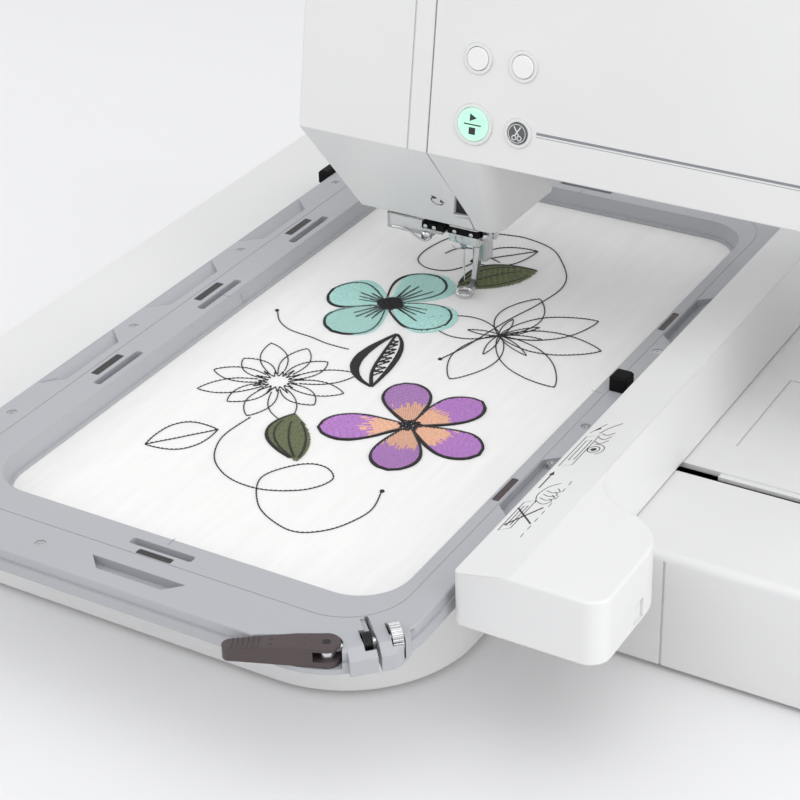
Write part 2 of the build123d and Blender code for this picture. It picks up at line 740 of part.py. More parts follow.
# ---------------------------------------------------------------- carriage
def carriage_outline(right, inset):
    """The carriage's plan: a wide head in front, bending back to a narrow bar."""
    left = carriage_left + inset
    front = carriage_y[0] + inset
    back = carriage_y[1] - inset
    outer = head_right - inset
    corner = 10.0 - inset
    middle = ((outer + right) / 2, (head_bend_y[0] + head_bend_y[1]) / 2)
    small = 4.0 - inset * 0.8
    with BuildLine() as outline:
        Line((left + small, front), (outer - corner, front))
        RadiusArc((outer - corner, front), (outer, front + corner), -corner)
        Line((outer, front + corner), (outer, head_bend_y[0]))
        bend = TangentArc((outer, head_bend_y[0]), middle, tangent=(0, 1))
        TangentArc(middle, (right, head_bend_y[1]), tangent=bend % 1)
        Line((right, head_bend_y[1]), (right, back - small))
        RadiusArc((right, back - small), (right - small, back), -small)
        Line((right - small, back), (left + small, back))
        RadiusArc((left + small, back), (left, back - small), -small)
        Line((left, back - small), (left, front + small))
        RadiusArc((left, front + small), (left + small, front), -small)
    make_face(outline.edges())


def carriage_volume(inset):
    """The carriage's outside, or with an inset the room inside it, open below."""
    low = carriage_bottom
    high = carriage_top - inset
    slope = (carriage_foot_right - carriage_ridge) / (carriage_top - carriage_bottom)
    with BuildPart() as volume:
        for z in (low, high):
            with BuildSketch(Plane.XY.offset(z)):
                carriage_outline(carriage_foot_right - inset * 1.05 - slope * (z - low), inset)
        loft(ruled=True)
        rise = (carriage_top - carriage_left_top) / (carriage_ridge - carriage_left)
        drop = inset * 1.03
        far = 20.0
        prism_y(
            (
                (far, carriage_left_top - rise * (carriage_left - far) - drop),
                (carriage_ridge + 2, carriage_top + 2 * rise - drop),
                (carriage_ridge + 2, carriage_top + 8),
                (far, carriage_top + 8),
            ),
            (carriage_y[0] - 5, carriage_y[1] + 5),
            Mode.SUBTRACT,
        )
    return volume.part


with BuildPart() as carriage_cover:
    add(carriage_volume(0.0))
    head_top = carriage_cover.faces().filter_by(lambda face: face.normal_at().Z > 0.99)
    fillet(head_top.edges().filter_by(lambda edge: edge.center().X > carriage_ridge + 0.5), 1.5)
    add(carriage_volume(carriage_wall), mode=Mode.SUBTRACT)
    block((20.0, 30.0), (-141.0, 263.0), (72.0, 78.0), Mode.SUBTRACT)
    block((head_right - 1.2, head_right + 2), (-172.5, -163.5), (69.5, 79.5), Mode.SUBTRACT)
save(carriage_cover, "carriage_cover")

with BuildPart() as carriage_plate:
    block((28.8, 58.4), (-203.7, 280.3), (carriage_bottom, carriage_bottom + 2), radius=2.0)
    block((40.0, 96.0), (-203.7, -162.0), (carriage_bottom, carriage_bottom + 2), radius=8.0)
    block((34.0, 58.0), (-40.8, -36.8), (48.0, carriage_bottom + 1))
    block((22.0, 66.0), (-72.0, -2.0), (30.0, 50.0))
    for rod_y in x_rod_y:
        rod((10.0, rod_y, x_rod_z), (1, 0, 0), 70.0, rod_radius + running_gap, Mode.SUBTRACT)
save(carriage_plate, "carriage_plate")

with BuildPart() as y_guide_rod:
    rod((y_rod[0], -156.0, y_rod[1]), (0, 1, 0), 436.0, rod_radius)
    for end_y in (-156.0, 272.0):
        block((34.0, 49.5), (end_y, end_y + 8), (carriage_bottom + 2, 89.0))
save(y_guide_rod, "y_guide_rod")

with BuildPart() as y_belt:
    belt_loop(
        Plane.YZ.offset(51.2),
        (y_pulley_y[0], y_belt_z),
        (y_pulley_y[1], y_belt_z),
        y_pulley_radius + 0.1,
        0.8,
        3.6,
    )
save(y_belt, "y_belt")

with BuildPart() as y_pulley:
    rod((51.0, y_pulley_y[0], y_belt_z), (1, 0, 0), 4.0, y_pulley_radius)
    rod((50.0, y_pulley_y[0], y_belt_z), (1, 0, 0), 6.0, 1.55, Mode.SUBTRACT)
save(y_pulley, "y_pulley")

with BuildPart() as y_idler:
    rod((51.0, y_pulley_y[1], y_belt_z), (1, 0, 0), 4.0, y_pulley_radius)
save(y_idler, "y_idler")

with BuildPart() as y_motor:
    block((60.0, 92.0), (-198.0, -164.0), (carriage_bottom + 2, 96.0), radius=3.0)
    rod((60.0, y_pulley_y[0], y_belt_z), (-1, 0, 0), 9.0, 1.5)
save(y_motor, "y_motor")

# ---------------------------------------------------------------- hoop
ring_centre = ((ring_x[0] + ring_x[1]) / 2, (ring_y[0] + ring_y[1]) / 2)
joint_centre = ((joint_x[0] + joint_x[1]) / 2, (joint_y[0] + joint_y[1]) / 2)
opening_centre = ((opening_x[0] + opening_x[1]) / 2, (opening_y[0] + opening_y[1]) / 2)


def rounded_plan(x, y, centre, radius, grow):
    """A rectangle with round corners, grown on every side."""
    with Locations(centre):
        RectangleRounded(x[1] - x[0] + 2 * grow, y[1] - y[0] + 2 * grow, radius + grow)


def lever_plan(grow, turn=0.0):
    """The clamp lever's plan, turned from closed: a round cam end that tapers to its tip."""
    pivot = clamp_point(clamp_pivot, 0.0)[:2]
    closed = atan2(lever_tip[1] - pivot[1], lever_tip[0] - pivot[0])
    length = hypot(lever_tip[1] - pivot[1], lever_tip[0] - pivot[0])
    along = (cos(closed + radians(turn)), sin(closed + radians(turn)))
    tip = (pivot[0] + along[0] * length, pivot[1] + along[1] * length)
    with Locations(pivot):
        Circle(6.2 + grow)
    with Locations(tip):
        Circle(3.6 + grow)
    points = []
    for centre, half in ((pivot, 6.1), (tip, 3.5), (tip, -3.5), (pivot, -6.1)):
        half += grow if half > 0 else -grow
        points.append((centre[0] - along[1] * half, centre[1] + along[0] * half))
    with BuildLine() as taper:
        Polyline(*points, close=True)
    make_face(taper.edges())


def edge_scoop(edge, y, inwards):
    """Cuts a scoop that deepens from a thin rim at the ring's edge to an upright wall further in."""
    outlines = []
    for reach, half, deep in ((scoop_reach[0], scoop_half[0], 0.1), (scoop_reach[1], scoop_half[1], scoop_depth)):
        station = Plane(origin=(edge + inwards * reach, y, ring_top), x_dir=(0, inwards, 0), z_dir=(inwards, 0, 0))
        with BuildSketch(station) as outline:
            with BuildLine() as rim:
                Polyline((-half, -deep), (half, -deep), (half, 1.0), (-half, 1.0), close=True)
            make_face(rim.edges())
        outlines.append(outline.sketch)
    loft(outlines, ruled=True, mode=Mode.SUBTRACT)


with BuildPart() as outer_ring:
    with BuildSketch(Plane.XY.offset(ring_bottom)):
        rounded_plan(ring_x, ring_y, ring_centre, ring_radius, flange_proud)
    extrude(amount=flange_top - ring_bottom)
    with BuildSketch(Plane.XY.offset(flange_top)):
        rounded_plan(ring_x, ring_y, ring_centre, ring_radius, 0.0)
    extrude(amount=ring_top - flange_top)
    fillet(outer_ring.faces().sort_by(Axis.Z)[-1].edges(), 1.0)
    ears = ((-13.5, -12.0), (-13.5, 10.8), (6.5, 10.8), (12.0, 7.6), (16.0, 2.5), (16.0, -12.0))
    clamp_prism(ears, (ring_bottom, ring_top))
    outwards = (clamp_axis[1], -clamp_axis[0], 0)
    backwards = (-clamp_axis[0], -clamp_axis[1], 0)
    with BuildSketch(Plane(origin=clamp_point(18.0, 0.0, 0.0), x_dir=outwards, z_dir=backwards)):
        with BuildLine() as ear_slope:
            Polyline((5.5, ring_top), (14.0, 75.0), (14.0, 84.0), (5.5, 84.0), close=True)
        make_face(ear_slope.edges())
    extrude(amount=31.5, mode=Mode.SUBTRACT)
    block((ring_x[1] + flange_proud, 60.0), (-300.0, -150.0), (60.0, 90.0), Mode.SUBTRACT)
    with BuildSketch(Plane.XY.offset(ring_bottom - 1)):
        rounded_plan(joint_x, joint_y, joint_centre, joint_radius, 0.0)
    extrude(amount=ring_top - ring_bottom + 2, mode=Mode.SUBTRACT)
    clamp_block((-0.75, 0.75), (-40.0, 20.0), (ring_bottom - 1, ring_top + 1), Mode.SUBTRACT)
    clamp_block((-5.8, 0.0), (-5.4, 7.6), (ring_bottom + 3, ring_top + 1), Mode.SUBTRACT)
    clamp_block((-3.0, 1.0), (-13.5, -4.3), (ring_top - 1.2, ring_top + 1), Mode.SUBTRACT)
    nut_room = (clamp_nut_place - clamp_nut_length / 2 - 0.6, clamp_nut_place + clamp_nut_length / 2 + 0.6)
    clamp_block(nut_room, (-7.4, 7.5), (ring_bottom + 1.5, ring_top + 1), Mode.SUBTRACT)
    rod(clamp_point(-20.0, 0.0), clamp_axis, 45.0, 2.3, Mode.SUBTRACT)
    with BuildSketch(Plane.XY.offset(ring_bottom + 2.6)):
        for turn in range(0, lever_swing + 1, 19):
            lever_plan(0.9, turn)
    extrude(amount=20.0, mode=Mode.SUBTRACT)
    for y in magnet_rows:
        edge_scoop(ring_x[0], y, 1)
        if y != magnet_rows[1]:
            edge_scoop(ring_x[1], y, -1)
    for edge, depth in ((ring_y[0] + 8.5, 8.0), (ring_y[1] - 8.5, -8.0)):
        notch = (
            (front_feature_x - 18, edge),
            (front_feature_x + 18, edge),
            (front_feature_x + 26, edge + depth),
            (front_feature_x - 26, edge + depth),
        )
        prism_z(notch, (flange_top + 1.0, ring_top + 1), Mode.SUBTRACT)
    screw_places = [(ring_x[0] + 9.0, y) for y in left_screw_y]
    screw_places += [(ring_x[1] - 8.0, y) for y in right_screw_y]
    screw_places += [(front_screw_x, ring_y[0] + 12.5), (front_screw_x, ring_y[1] - 12.5)]
    for x, y in screw_places:
        rod((x, y, ring_top - 3.0), (0, 0, 1), 5.0, 2.6, Mode.SUBTRACT)
    block((12.0, 40.0), (bracket_y[0] - 1, bracket_y[1] + 1), (72.5, 77.5), Mode.SUBTRACT)
    rod((*lock_place, 77.0), (0, 0, 1), 10.0, 3.06, Mode.SUBTRACT)
save(outer_ring, "outer_ring")

with BuildPart() as inner_ring:
    with BuildSketch(Plane.XY.offset(cloth_top + 0.2)):
        rounded_plan(joint_x, joint_y, joint_centre, joint_radius, -joint_gap)
    extrude(amount=ring_top - cloth_top - 0.2)
    with BuildSketch(Plane.XY.offset(cloth_top)):
        rounded_plan(opening_x, opening_y, opening_centre, opening_radius, 0.0)
    extrude(amount=3.0, mode=Mode.SUBTRACT)
    lip_top = cloth_top + 2.0
    with BuildSketch(Plane.XY.offset(lip_top)):
        rounded_plan(opening_x, opening_y, opening_centre, opening_radius, 1.6)
    extrude(amount=ring_top - lip_top + 1.0, taper=-14.0, mode=Mode.SUBTRACT)
    for y in magnet_rows:
        block((-233.2, -228.6), (y - 19.5, y + 19.5), (ring_top - 5, ring_top + 1), Mode.SUBTRACT, 1.5)
        block((-240.7, -235.8), (y - 11.8, y + 11.8), (ring_top - 3, ring_top + 1), Mode.SUBTRACT, 0.9)
    for y in right_plate_y:
        block((3.9, 7.6), (y - 11.0, y + 11.0), (ring_top - 2.2, ring_top + 1), Mode.SUBTRACT, 0.9)
    for slot_line, magnet_line in ((-236.7, -242.6), (211.3, 217.2)):
        block(
            (front_feature_x - 17.5, front_feature_x + 17.5),
            (slot_line - 2.3, slot_line + 2.3),
            (ring_top - 5, ring_top + 1),
            Mode.SUBTRACT,
            1.5,
        )
        block(
            (front_feature_x - 9.8, front_feature_x + 9.8),
            (magnet_line - 1.9, magnet_line + 1.9),
            (ring_top - 3, ring_top + 1),
            Mode.SUBTRACT,
            0.9,
        )
save(inner_ring, "inner_ring")

with BuildPart() as ring_magnets:
    for y in magnet_rows:
        block((-240.6, -235.9), (y - 11.7, y + 11.7), (ring_top - 3, ring_top - 0.3), radius=0.8)
    for magnet_line in (-242.6, 217.2):
        block(
            (front_feature_x - 9.7, front_feature_x + 9.7),
            (magnet_line - 1.8, magnet_line + 1.8),
            (ring_top - 3, ring_top - 0.3),
            radius=0.8,
        )
save(ring_magnets, "ring_magnets")

with BuildPart() as ring_plates:
    for y in right_plate_y:
        block((4.0, 7.5), (y - 10.9, y + 10.9), (ring_top - 2.2, ring_top - 0.2), radius=0.8)
save(ring_plates, "ring_plates")

with BuildPart() as ring_screws:
    for x, y in screw_places:
        rod((x, y, ring_top - 3.0), (0, 0, 1), 2.6, 2.5)
        rod((x, y, ring_top - 1.2), (0, 0, 1), 1.0, 1.2, Mode.SUBTRACT)
save(ring_screws, "ring_screws")

with BuildPart() as hooped_fabric:
    with BuildSketch(Plane.XY.offset(cloth_bottom)):
        rounded_plan(joint_x, joint_y, joint_centre, joint_radius, -0.6)
        with Locations((needle_x, needle_y)):
            Circle(1.5, mode=Mode.SUBTRACT)
    extrude(amount=cloth_top - cloth_bottom)
save(hooped_fabric, "hooped_fabric")

with BuildPart() as hoop_bracket:
    block((12.6, 40.0), bracket_y, (73.0, 77.0))
    block((33.0, 50.0), bracket_y, (70.8, 90.0))
    rod((y_rod[0], -60.0, y_rod[1]), (0, 1, 0), 100.0, rod_radius + running_gap, Mode.SUBTRACT)
save(hoop_bracket, "hoop_bracket")

with BuildPart() as hoop_lock_knob:
    rod((*lock_place, 77.2), (0, 0, 1), 6.0, 3.0)
    block(
        (lock_place[0] - 5.0, lock_place[0] + 5.0),
        (lock_place[1] - 5.3, lock_place[1] + 5.3),
        (ring_top + 0.3, lock_top),
        radius=1.5,
    )
    chamfer(hoop_lock_knob.faces().sort_by(Axis.Z)[-1].edges(), 1.2)
save(hoop_lock_knob, "hoop_lock_knob")

with BuildPart() as ring_stop:
    block((ring_x[0] - 8.0, ring_x[0] - 0.05), (152.0, 167.0), (flange_top + 0.2, ring_top + 2.4), radius=1.5)
    chamfer(ring_stop.faces().sort_by(Axis.Z)[-1].edges(), 1.5)
save(ring_stop, "ring_stop")

with BuildPart() as clamp_lever:
    with BuildSketch(Plane.XY.offset(73.2)):
        lever_plan(0.0)
    extrude(amount=9.6)
    pivot_place = clamp_point(clamp_pivot, 0.0, 73.2)
    reach = (lever_tip[0] - pivot_place[0], lever_tip[1] - pivot_place[1])
    across = (-reach[1] / hypot(*reach), reach[0] / hypot(*reach), 0)
    with BuildSketch(Plane(origin=pivot_place, x_dir=(*reach, 0), z_dir=across)) as slope:
        with BuildLine():
            Polyline((14.0, -9.6), (60.0, -5.0), (60.0, -16.0), (14.0, -16.0), close=True)
        make_face()
    extrude(slope.sketch, amount=12.0, both=True, mode=Mode.SUBTRACT)
    rod((*pivot_place[:2], clamp_z - 2.6), (0, 0, 1), 5.2, 8.0, Mode.SUBTRACT)
    rod((*pivot_place[:2], 70.0), (0, 0, 1), 20.0, 1.85, Mode.SUBTRACT)
save(clamp_lever, "clamp_lever")

with BuildPart() as clamp_screw:
    rod(clamp_point(clamp_pivot, 0.0), clamp_axis, 35.5, 2.0)
    rod((*clamp_point(clamp_pivot, 0.0)[:2], 73.4), (0, 0, 1), 9.2, 1.8)
    rod((*clamp_point(clamp_pivot, 0.0)[:2], clamp_z - 2.4), (0, 0, 1), 4.8, 4.0)
save(clamp_screw, "clamp_screw")

with BuildPart() as clamp_nut:
    nut_start = clamp_point(clamp_nut_place - clamp_nut_length / 2, 0.0)
    with BuildSketch(Plane(origin=nut_start, z_dir=clamp_axis)):
        Circle(clamp_nut_radius)
        Circle(2.05, mode=Mode.SUBTRACT)
        with PolarLocations(clamp_nut_radius + 0.25, 26):
            Circle(0.6, mode=Mode.SUBTRACT)
    extrude(amount=clamp_nut_length)
save(clamp_nut, "clamp_nut")

with BuildPart() as clamp_spring:
    with BuildSketch(Plane(origin=clamp_point(-5.6, 0.0), z_dir=clamp_axis)):
        Circle(5.0)
        Circle(3.6, mode=Mode.SUBTRACT)
    extrude(amount=4.8)
save(clamp_spring, "clamp_spring")
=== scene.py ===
"""The looks of an embroidery machine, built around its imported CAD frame.

Shapes are worked out in millimetres in the row frame (+X right, +Y back, +Z up, origin on the
floor) and scaled to metres where a mesh is made.
"""

import json
import math
import random

import bpy
from mathutils import Matrix, Vector
from mathutils.noise import fractal as noise_fractal


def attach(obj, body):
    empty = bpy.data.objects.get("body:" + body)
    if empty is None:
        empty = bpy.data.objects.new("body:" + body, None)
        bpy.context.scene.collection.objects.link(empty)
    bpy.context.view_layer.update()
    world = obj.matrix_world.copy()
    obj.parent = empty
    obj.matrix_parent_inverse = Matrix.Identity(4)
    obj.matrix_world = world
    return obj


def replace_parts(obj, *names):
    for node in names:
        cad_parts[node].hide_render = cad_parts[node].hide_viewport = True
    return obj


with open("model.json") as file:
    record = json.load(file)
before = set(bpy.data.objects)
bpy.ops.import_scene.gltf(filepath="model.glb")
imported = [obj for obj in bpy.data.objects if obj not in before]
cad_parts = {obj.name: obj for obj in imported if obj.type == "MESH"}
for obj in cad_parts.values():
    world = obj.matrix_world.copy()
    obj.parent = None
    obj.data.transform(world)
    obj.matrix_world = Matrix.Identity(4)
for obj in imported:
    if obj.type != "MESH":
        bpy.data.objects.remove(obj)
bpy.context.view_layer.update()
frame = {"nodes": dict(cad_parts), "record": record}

MM = 0.001
random.seed(11)

# ---------------------------------------------------------------- places, in millimetres
NEEDLE = (-117.0, 67.0)
CLOTH_TOP = 71.2
RING_TOP = 81.6
FACE_FOOT = (16.0, 181.0)
FACE_LEAN = 0.17
CLAMP = (9.76, -247.06, 78.5)
CLAMP_PIVOT = -21.0
LEVER_TIP = (-43.6, -279.8)
START_BUTTON = (-84.5, 201.0)
CUTTER_BUTTON = (-58.7, 201.0)
SCREEN_MIDDLE = (245.0, 240.0)
REAR_SCREWS_X = (-172.0, -60.0, 60.0, 158.0, 196.0, 300.0)
REAR_SCREWS_Z = 292.0
STRIP_EDGE = (26.0, 95.0)
STRIP_RIDGE = (54.0, 101.0)


# ---------------------------------------------------------------- materials
def new_material(name):
    """An empty node material, with its tree and its shader."""
    material = bpy.data.materials.new(name)
    material.use_nodes = True
    tree = material.node_tree
    tree.nodes.clear()
    output = tree.nodes.new("ShaderNodeOutputMaterial")
    shader = tree.nodes.new("ShaderNodeBsdfPrincipled")
    tree.links.new(shader.outputs["BSDF"], output.inputs["Surface"])
    return material, tree, shader


def ramp(tree, factor, stops):
    """A colour ramp between (place, colour) stops, fed by a factor."""
    node = tree.nodes.new("ShaderNodeValToRGB")
    elements = node.color_ramp.elements
    while len(elements) < len(stops):
        elements.new(0.5)
    for element, (place, colour) in zip(elements, stops):
        element.position = place
        element.color = (*colour, 1.0)
    tree.links.new(factor, node.inputs["Fac"])
    return node.outputs["Color"]


def noise(tree, scale, detail=2.0, roughness=0.5, stretch=(1, 1, 1)):
    """Noise in the piece's own space, with its scale in features per metre."""
    place = tree.nodes.new("ShaderNodeTexCoord")
    mapping = tree.nodes.new("ShaderNodeMapping")
    mapping.inputs["Scale"].default_value = stretch
    tree.links.new(place.outputs["Object"], mapping.inputs["Vector"])
    node = tree.nodes.new("ShaderNodeTexNoise")
    node.inputs["Scale"].default_value = scale
    node.inputs["Detail"].default_value = detail
    node.inputs["Roughness"].default_value = roughness
    tree.links.new(mapping.outputs["Vector"], node.inputs["Vector"])
    return node.outputs["Fac"]


def bump(tree, shader, height, strength, distance, rounded=0.0):
    """A bump on the shader's normal, over edges softened by a bevel of that radius in mm."""
    node = tree.nodes.new("ShaderNodeBump")
    node.inputs["Strength"].default_value = strength
    node.inputs["Distance"].default_value = distance * MM
    tree.links.new(height, node.inputs["Height"])
    if rounded:
        bevel = tree.nodes.new("ShaderNodeBevel")
        bevel.samples = 4
        bevel.inputs["Radius"].default_value = rounded * MM
        tree.links.new(bevel.outputs["Normal"], node.inputs["Normal"])
    tree.links.new(node.outputs["Normal"], shader.inputs["Normal"])


def vary(tree, shader, low, high, base_noise, spread=0.06):
    """Drives roughness between two values from a noise."""
    node = tree.nodes.new("ShaderNodeMapRange")
    node.inputs["From Min"].default_value = 0.5 - spread * 3
    node.inputs["From Max"].default_value = 0.5 + spread * 3
    node.inputs["To Min"].default_value = low
    node.inputs["To Max"].default_value = high
    tree.links.new(base_noise, node.inputs["Value"])
    tree.links.new(node.outputs["Result"], shader.inputs["Roughness"])


def shade(colour, amount):
    """A colour made lighter or darker by a share."""
    return tuple(min(1.0, c * (1 + amount)) for c in colour)


def plastic(name, colour, rough, grain=0.12, rounded=0.0, gloss=0.0):
    """Moulded plastic: faint cloudiness, fine spark-eroded grain, softened edges."""
    material, tree, shader = new_material(name)
    cloud = noise(tree, 9.0, 3.0)
    tint = ramp(tree, cloud, ((0.3, shade(colour, -0.025)), (0.7, shade(colour, 0.015))))
    tree.links.new(tint, shader.inputs["Base Color"])
    vary(tree, shader, rough * 0.9, rough * 1.1, noise(tree, 60.0, 4.0))
    bump(tree, shader, noise(tree, 2600.0, 2.0), grain, 0.05, rounded)
    shader.inputs["Coat Weight"].default_value = gloss
    shader.inputs["Coat Roughness"].default_value = 0.12
    return material


def metal(name, colour, rough, brush=(1, 1, 1), strength=0.15):
    """Plated or turned steel with faint tool marks along one direction."""
    material, tree, shader = new_material(name)
    marks = noise(tree, 900.0, 3.0, 0.6, brush)
    tint = ramp(tree, marks, ((0.3, shade(colour, -0.12)), (0.75, shade(colour, 0.1))))
    tree.links.new(tint, shader.inputs["Base Color"])
    vary(tree, shader, rough * 0.75, rough * 1.3, noise(tree, 120.0, 4.0))
    bump(tree, shader, marks, strength, 0.02)
    shader.inputs["Metallic"].default_value = 1.0
    return material


def thread(name, colour, sheen=0.5):
    """Glossy embroidery thread: fine plies twisted along it, brighter and darker strands."""
    material, tree, shader = new_material(name)
    plies = noise(tree, 2400.0, 2.0, 0.5)
    patch = noise(tree, 900.0, 2.0)
    tint = ramp(tree, patch, ((0.32, shade(colour, -0.14)), (0.68, shade(colour, 0.08))))
    tree.links.new(tint, shader.inputs["Base Color"])
    bump(tree, shader, plies, 0.4, 0.08)
    shader.inputs["Roughness"].default_value = 0.42
    shader.inputs["Sheen Weight"].default_value = sheen
    shader.inputs["Sheen Roughness"].default_value = 0.35
    return material


def woven_cloth(name, colour):
    """White cloth: a fine plain weave of two crossed threads with faint slubs."""
    material, tree, shader = new_material(name)
    place = tree.nodes.new("ShaderNodeTexCoord")
    waves = []
    for axis in ("X", "Y"):
        wave = tree.nodes.new("ShaderNodeTexWave")
        wave.bands_direction = axis
        wave.inputs["Scale"].default_value = 560.0
        wave.inputs["Distortion"].default_value = 0.6
        wave.inputs["Detail"].default_value = 2.0
        wave.inputs["Detail Scale"].default_value = 0.6
        tree.links.new(place.outputs["Object"], wave.inputs["Vector"])
        waves.append(wave.outputs["Fac"])
    weave = tree.nodes.new("ShaderNodeMath")
    weave.operation = "MULTIPLY"
    for index, wave in enumerate(waves):
        tree.links.new(wave, weave.inputs[index])
    slubs = noise(tree, 160.0, 3.0, 0.6, (1, 0.12, 1))
    tint = ramp(tree, slubs, ((0.3, shade(colour, -0.03)), (0.7, shade(colour, 0.02))))
    tree.links.new(tint, shader.inputs["Base Color"])
    bump(tree, shader, weave.outputs["Value"], 0.35, 0.12)
    shader.inputs["Roughness"].default_value = 0.86
    shader.inputs["Sheen Weight"].default_value = 0.15
    return material


def clear(name, colour):
    """Clear moulded plastic."""
    material, tree, shader = new_material(name)
    tint = ramp(tree, noise(tree, 30.0), ((0.3, shade(colour, -0.03)), (0.7, colour)))
    tree.links.new(tint, shader.inputs["Base Color"])
    bump(tree, shader, noise(tree, 300.0), 0.05, 0.05)
    shader.inputs["Roughness"].default_value = 0.12
    shader.inputs["Transmission Weight"].default_value = 0.6
    shader.inputs["IOR"].default_value = 1.45
    return material


def lit(name, colour, strength):
    """A translucent button cap lit from behind, brightest in the middle of its grain."""
    material, tree, shader = new_material(name)
    cloud = noise(tree, 120.0, 2.0)
    tint = ramp(tree, cloud, ((0.3, shade(colour, -0.05)), (0.7, shade(colour, 0.03))))
    tree.links.new(tint, shader.inputs["Base Color"])
    tree.links.new(tint, shader.inputs["Emission Color"])
    shader.inputs["Emission Strength"].default_value = strength
    shader.inputs["Roughness"].default_value = 0.25
    bump(tree, shader, noise(tree, 2200.0), 0.08, 0.04)
    return material


shell = plastic("shell_white", (0.775, 0.775, 0.775), 0.36, 0.1, 0.9, 0.15)
hoop_gray = plastic("hoop_gray", (0.43, 0.44, 0.465), 0.42, 0.2, 0.5)
taupe = plastic("lever_taupe", (0.070, 0.050, 0.052), 0.45, 0.2, 0.4)
black = plastic("black_plastic", (0.006, 0.006, 0.0065), 0.5, 0.25, 0.5)
black_shader = black.node_tree.nodes["Principled BSDF"]
black_shader.inputs["Specular IOR Level"].default_value = 0.1
magnet = plastic("magnet_black", (0.035, 0.03, 0.03), 0.45, 0.3)
ink = plastic("printed_ink", (0.03, 0.03, 0.035), 0.5, 0.1)
stripe_gray = plastic("stripe_gray", (0.25, 0.26, 0.28), 0.45, 0.1)
rim_white = plastic("rim_white", (0.84, 0.84, 0.84), 0.22, 0.05, 0.2, 0.4)
lip_gray = plastic("lip_gray", (0.60, 0.61, 0.62), 0.45, 0.15)
button_gray = plastic("button_gray", (0.09, 0.095, 0.10), 0.3, 0.1, 0.3, 0.5)
dark_gap = plastic("dark_gap", (0.02, 0.02, 0.022), 0.7, 0.1)
rubber = plastic("belt_rubber", (0.025, 0.025, 0.025), 0.75, 0.5)
board = plastic("board_green", (0.02, 0.13, 0.05), 0.35, 0.3)
motor = plastic("motor_black", (0.03, 0.03, 0.033), 0.4, 0.2, 0.4)
alloy = metal("frame_alloy", (0.50, 0.51, 0.52), 0.5, (1, 1, 1), 0.4)
steel = metal("bright_steel", (0.66, 0.66, 0.67), 0.2, (1, 1, 0.1))
dark_steel = metal("dark_steel", (0.16, 0.16, 0.165), 0.32, (1, 1, 0.1))
clear_plastic = clear("clear_plastic", (0.92, 0.94, 0.94))
green_lit = lit("button_green", (0.44, 0.82, 0.62), 0.36)
cloth_white = woven_cloth("cloth_white", (0.88, 0.875, 0.865))
teal_thread = thread("teal_thread", (0.50, 0.82, 0.77))
purple_thread = thread("purple_thread", (0.52, 0.24, 0.62))
peach_thread = thread("peach_thread", (0.88, 0.52, 0.36))
green_thread = thread("green_thread", (0.15, 0.18, 0.065))
ink_thread = thread("black_thread", (0.012, 0.011, 0.013), 0.1)
pale_thread = thread("pale_thread", (0.75, 0.74, 0.70))
black_steel = metal("black_steel", (0.05, 0.05, 0.052), 0.35)
blue_steel = metal("blue_steel", (0.25, 0.36, 0.45), 0.3, (1, 1, 0.1))
tile_gray = plastic("tile_gray", (0.16, 0.22, 0.27), 0.25, 0.05)


def fractal(spot):
    """Smooth seeded noise in two octaves, about -1 to 1."""
    return noise_fractal(spot, 1.0, 2.0, 2)


SLOT_LOOKS = {
    "shell_white": shell,
    "hoop_gray": hoop_gray,
    "lever_taupe": taupe,
    "black_plastic": black,
    "magnet_black": magnet,
    "bright_steel": steel,
    "dark_steel": dark_steel,
    "frame_alloy": alloy,
    "motor_black": motor,
    "belt_rubber": rubber,
    "clear_plastic": clear_plastic,
    "button_green": green_lit,
    "button_gray": button_gray,
    "button_white": rim_white,
    "screen_dark": button_gray,
    "board_green": board,
    "cloth_white": cloth_white,
}
for entry in frame["record"]["subparts"]:
    node = frame["nodes"][entry["node"]]
    node.data.materials.clear()
    node.data.materials.append(SLOT_LOOKS[entry["material_slot"]])

# ---------------------------------------------------------------- mesh helpers, in millimetres
def make_piece(name, shape, material, body, smooth=True):
    """Turns gathered points and faces into a piece that rides on a body."""
    points, faces = shape
    mesh = bpy.data.meshes.new(name)
    mesh.from_pydata([tuple(c * MM for c in point) for point in points], [], faces)
    for polygon in mesh.polygons:
        polygon.use_smooth = smooth
    mesh.materials.append(material)
    piece = bpy.data.objects.new(name, mesh)
    bpy.context.scene.collection.objects.link(piece)
    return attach(piece, body)


def sweep(shape, path, radius, sides=4, level=(0, 0, 1)):
    """Adds a closed tube along a path; radius is one number or one for each point."""
    points, faces = shape
    first = len(points)
    path = [Vector(p) for p in path]
    level = Vector(level)
    for index, centre in enumerate(path):
        ahead = path[min(index + 1, len(path) - 1)] - path[max(index - 1, 0)]
        side = ahead.cross(level).normalized()
        above = side.cross(ahead).normalized()
        size = radius[index] if isinstance(radius, (list, tuple)) else radius
        for step in range(sides):
            turn = 2 * math.pi * step / sides
            points.append(tuple(centre + side * size * math.cos(turn) + above * size * math.sin(turn)))
    for ring in range(len(path) - 1):
        for step in range(sides):
            after = (step + 1) % sides
            low = first + ring * sides
            faces.append((low + step, low + after, low + sides + after, low + sides + step))
    faces.append(tuple(first + step for step in reversed(range(sides))))
    faces.append(tuple(first + (len(path) - 1) * sides + step for step in range(sides)))


def puck(shape, centre, axis, radius, height, sides=24, edge=0.2):
    """Adds a short turned disc with a softened rim, standing on a point along an axis."""
    axis = Vector(axis).normalized()
    level = (0, 0, 1) if abs(axis.z) < 0.9 else (1, 0, 0)
    centre = Vector(centre)
    path = [centre, centre + axis * (height - edge), centre + axis * height]
    sweep(shape, path, [radius, radius, radius - edge], sides, level)


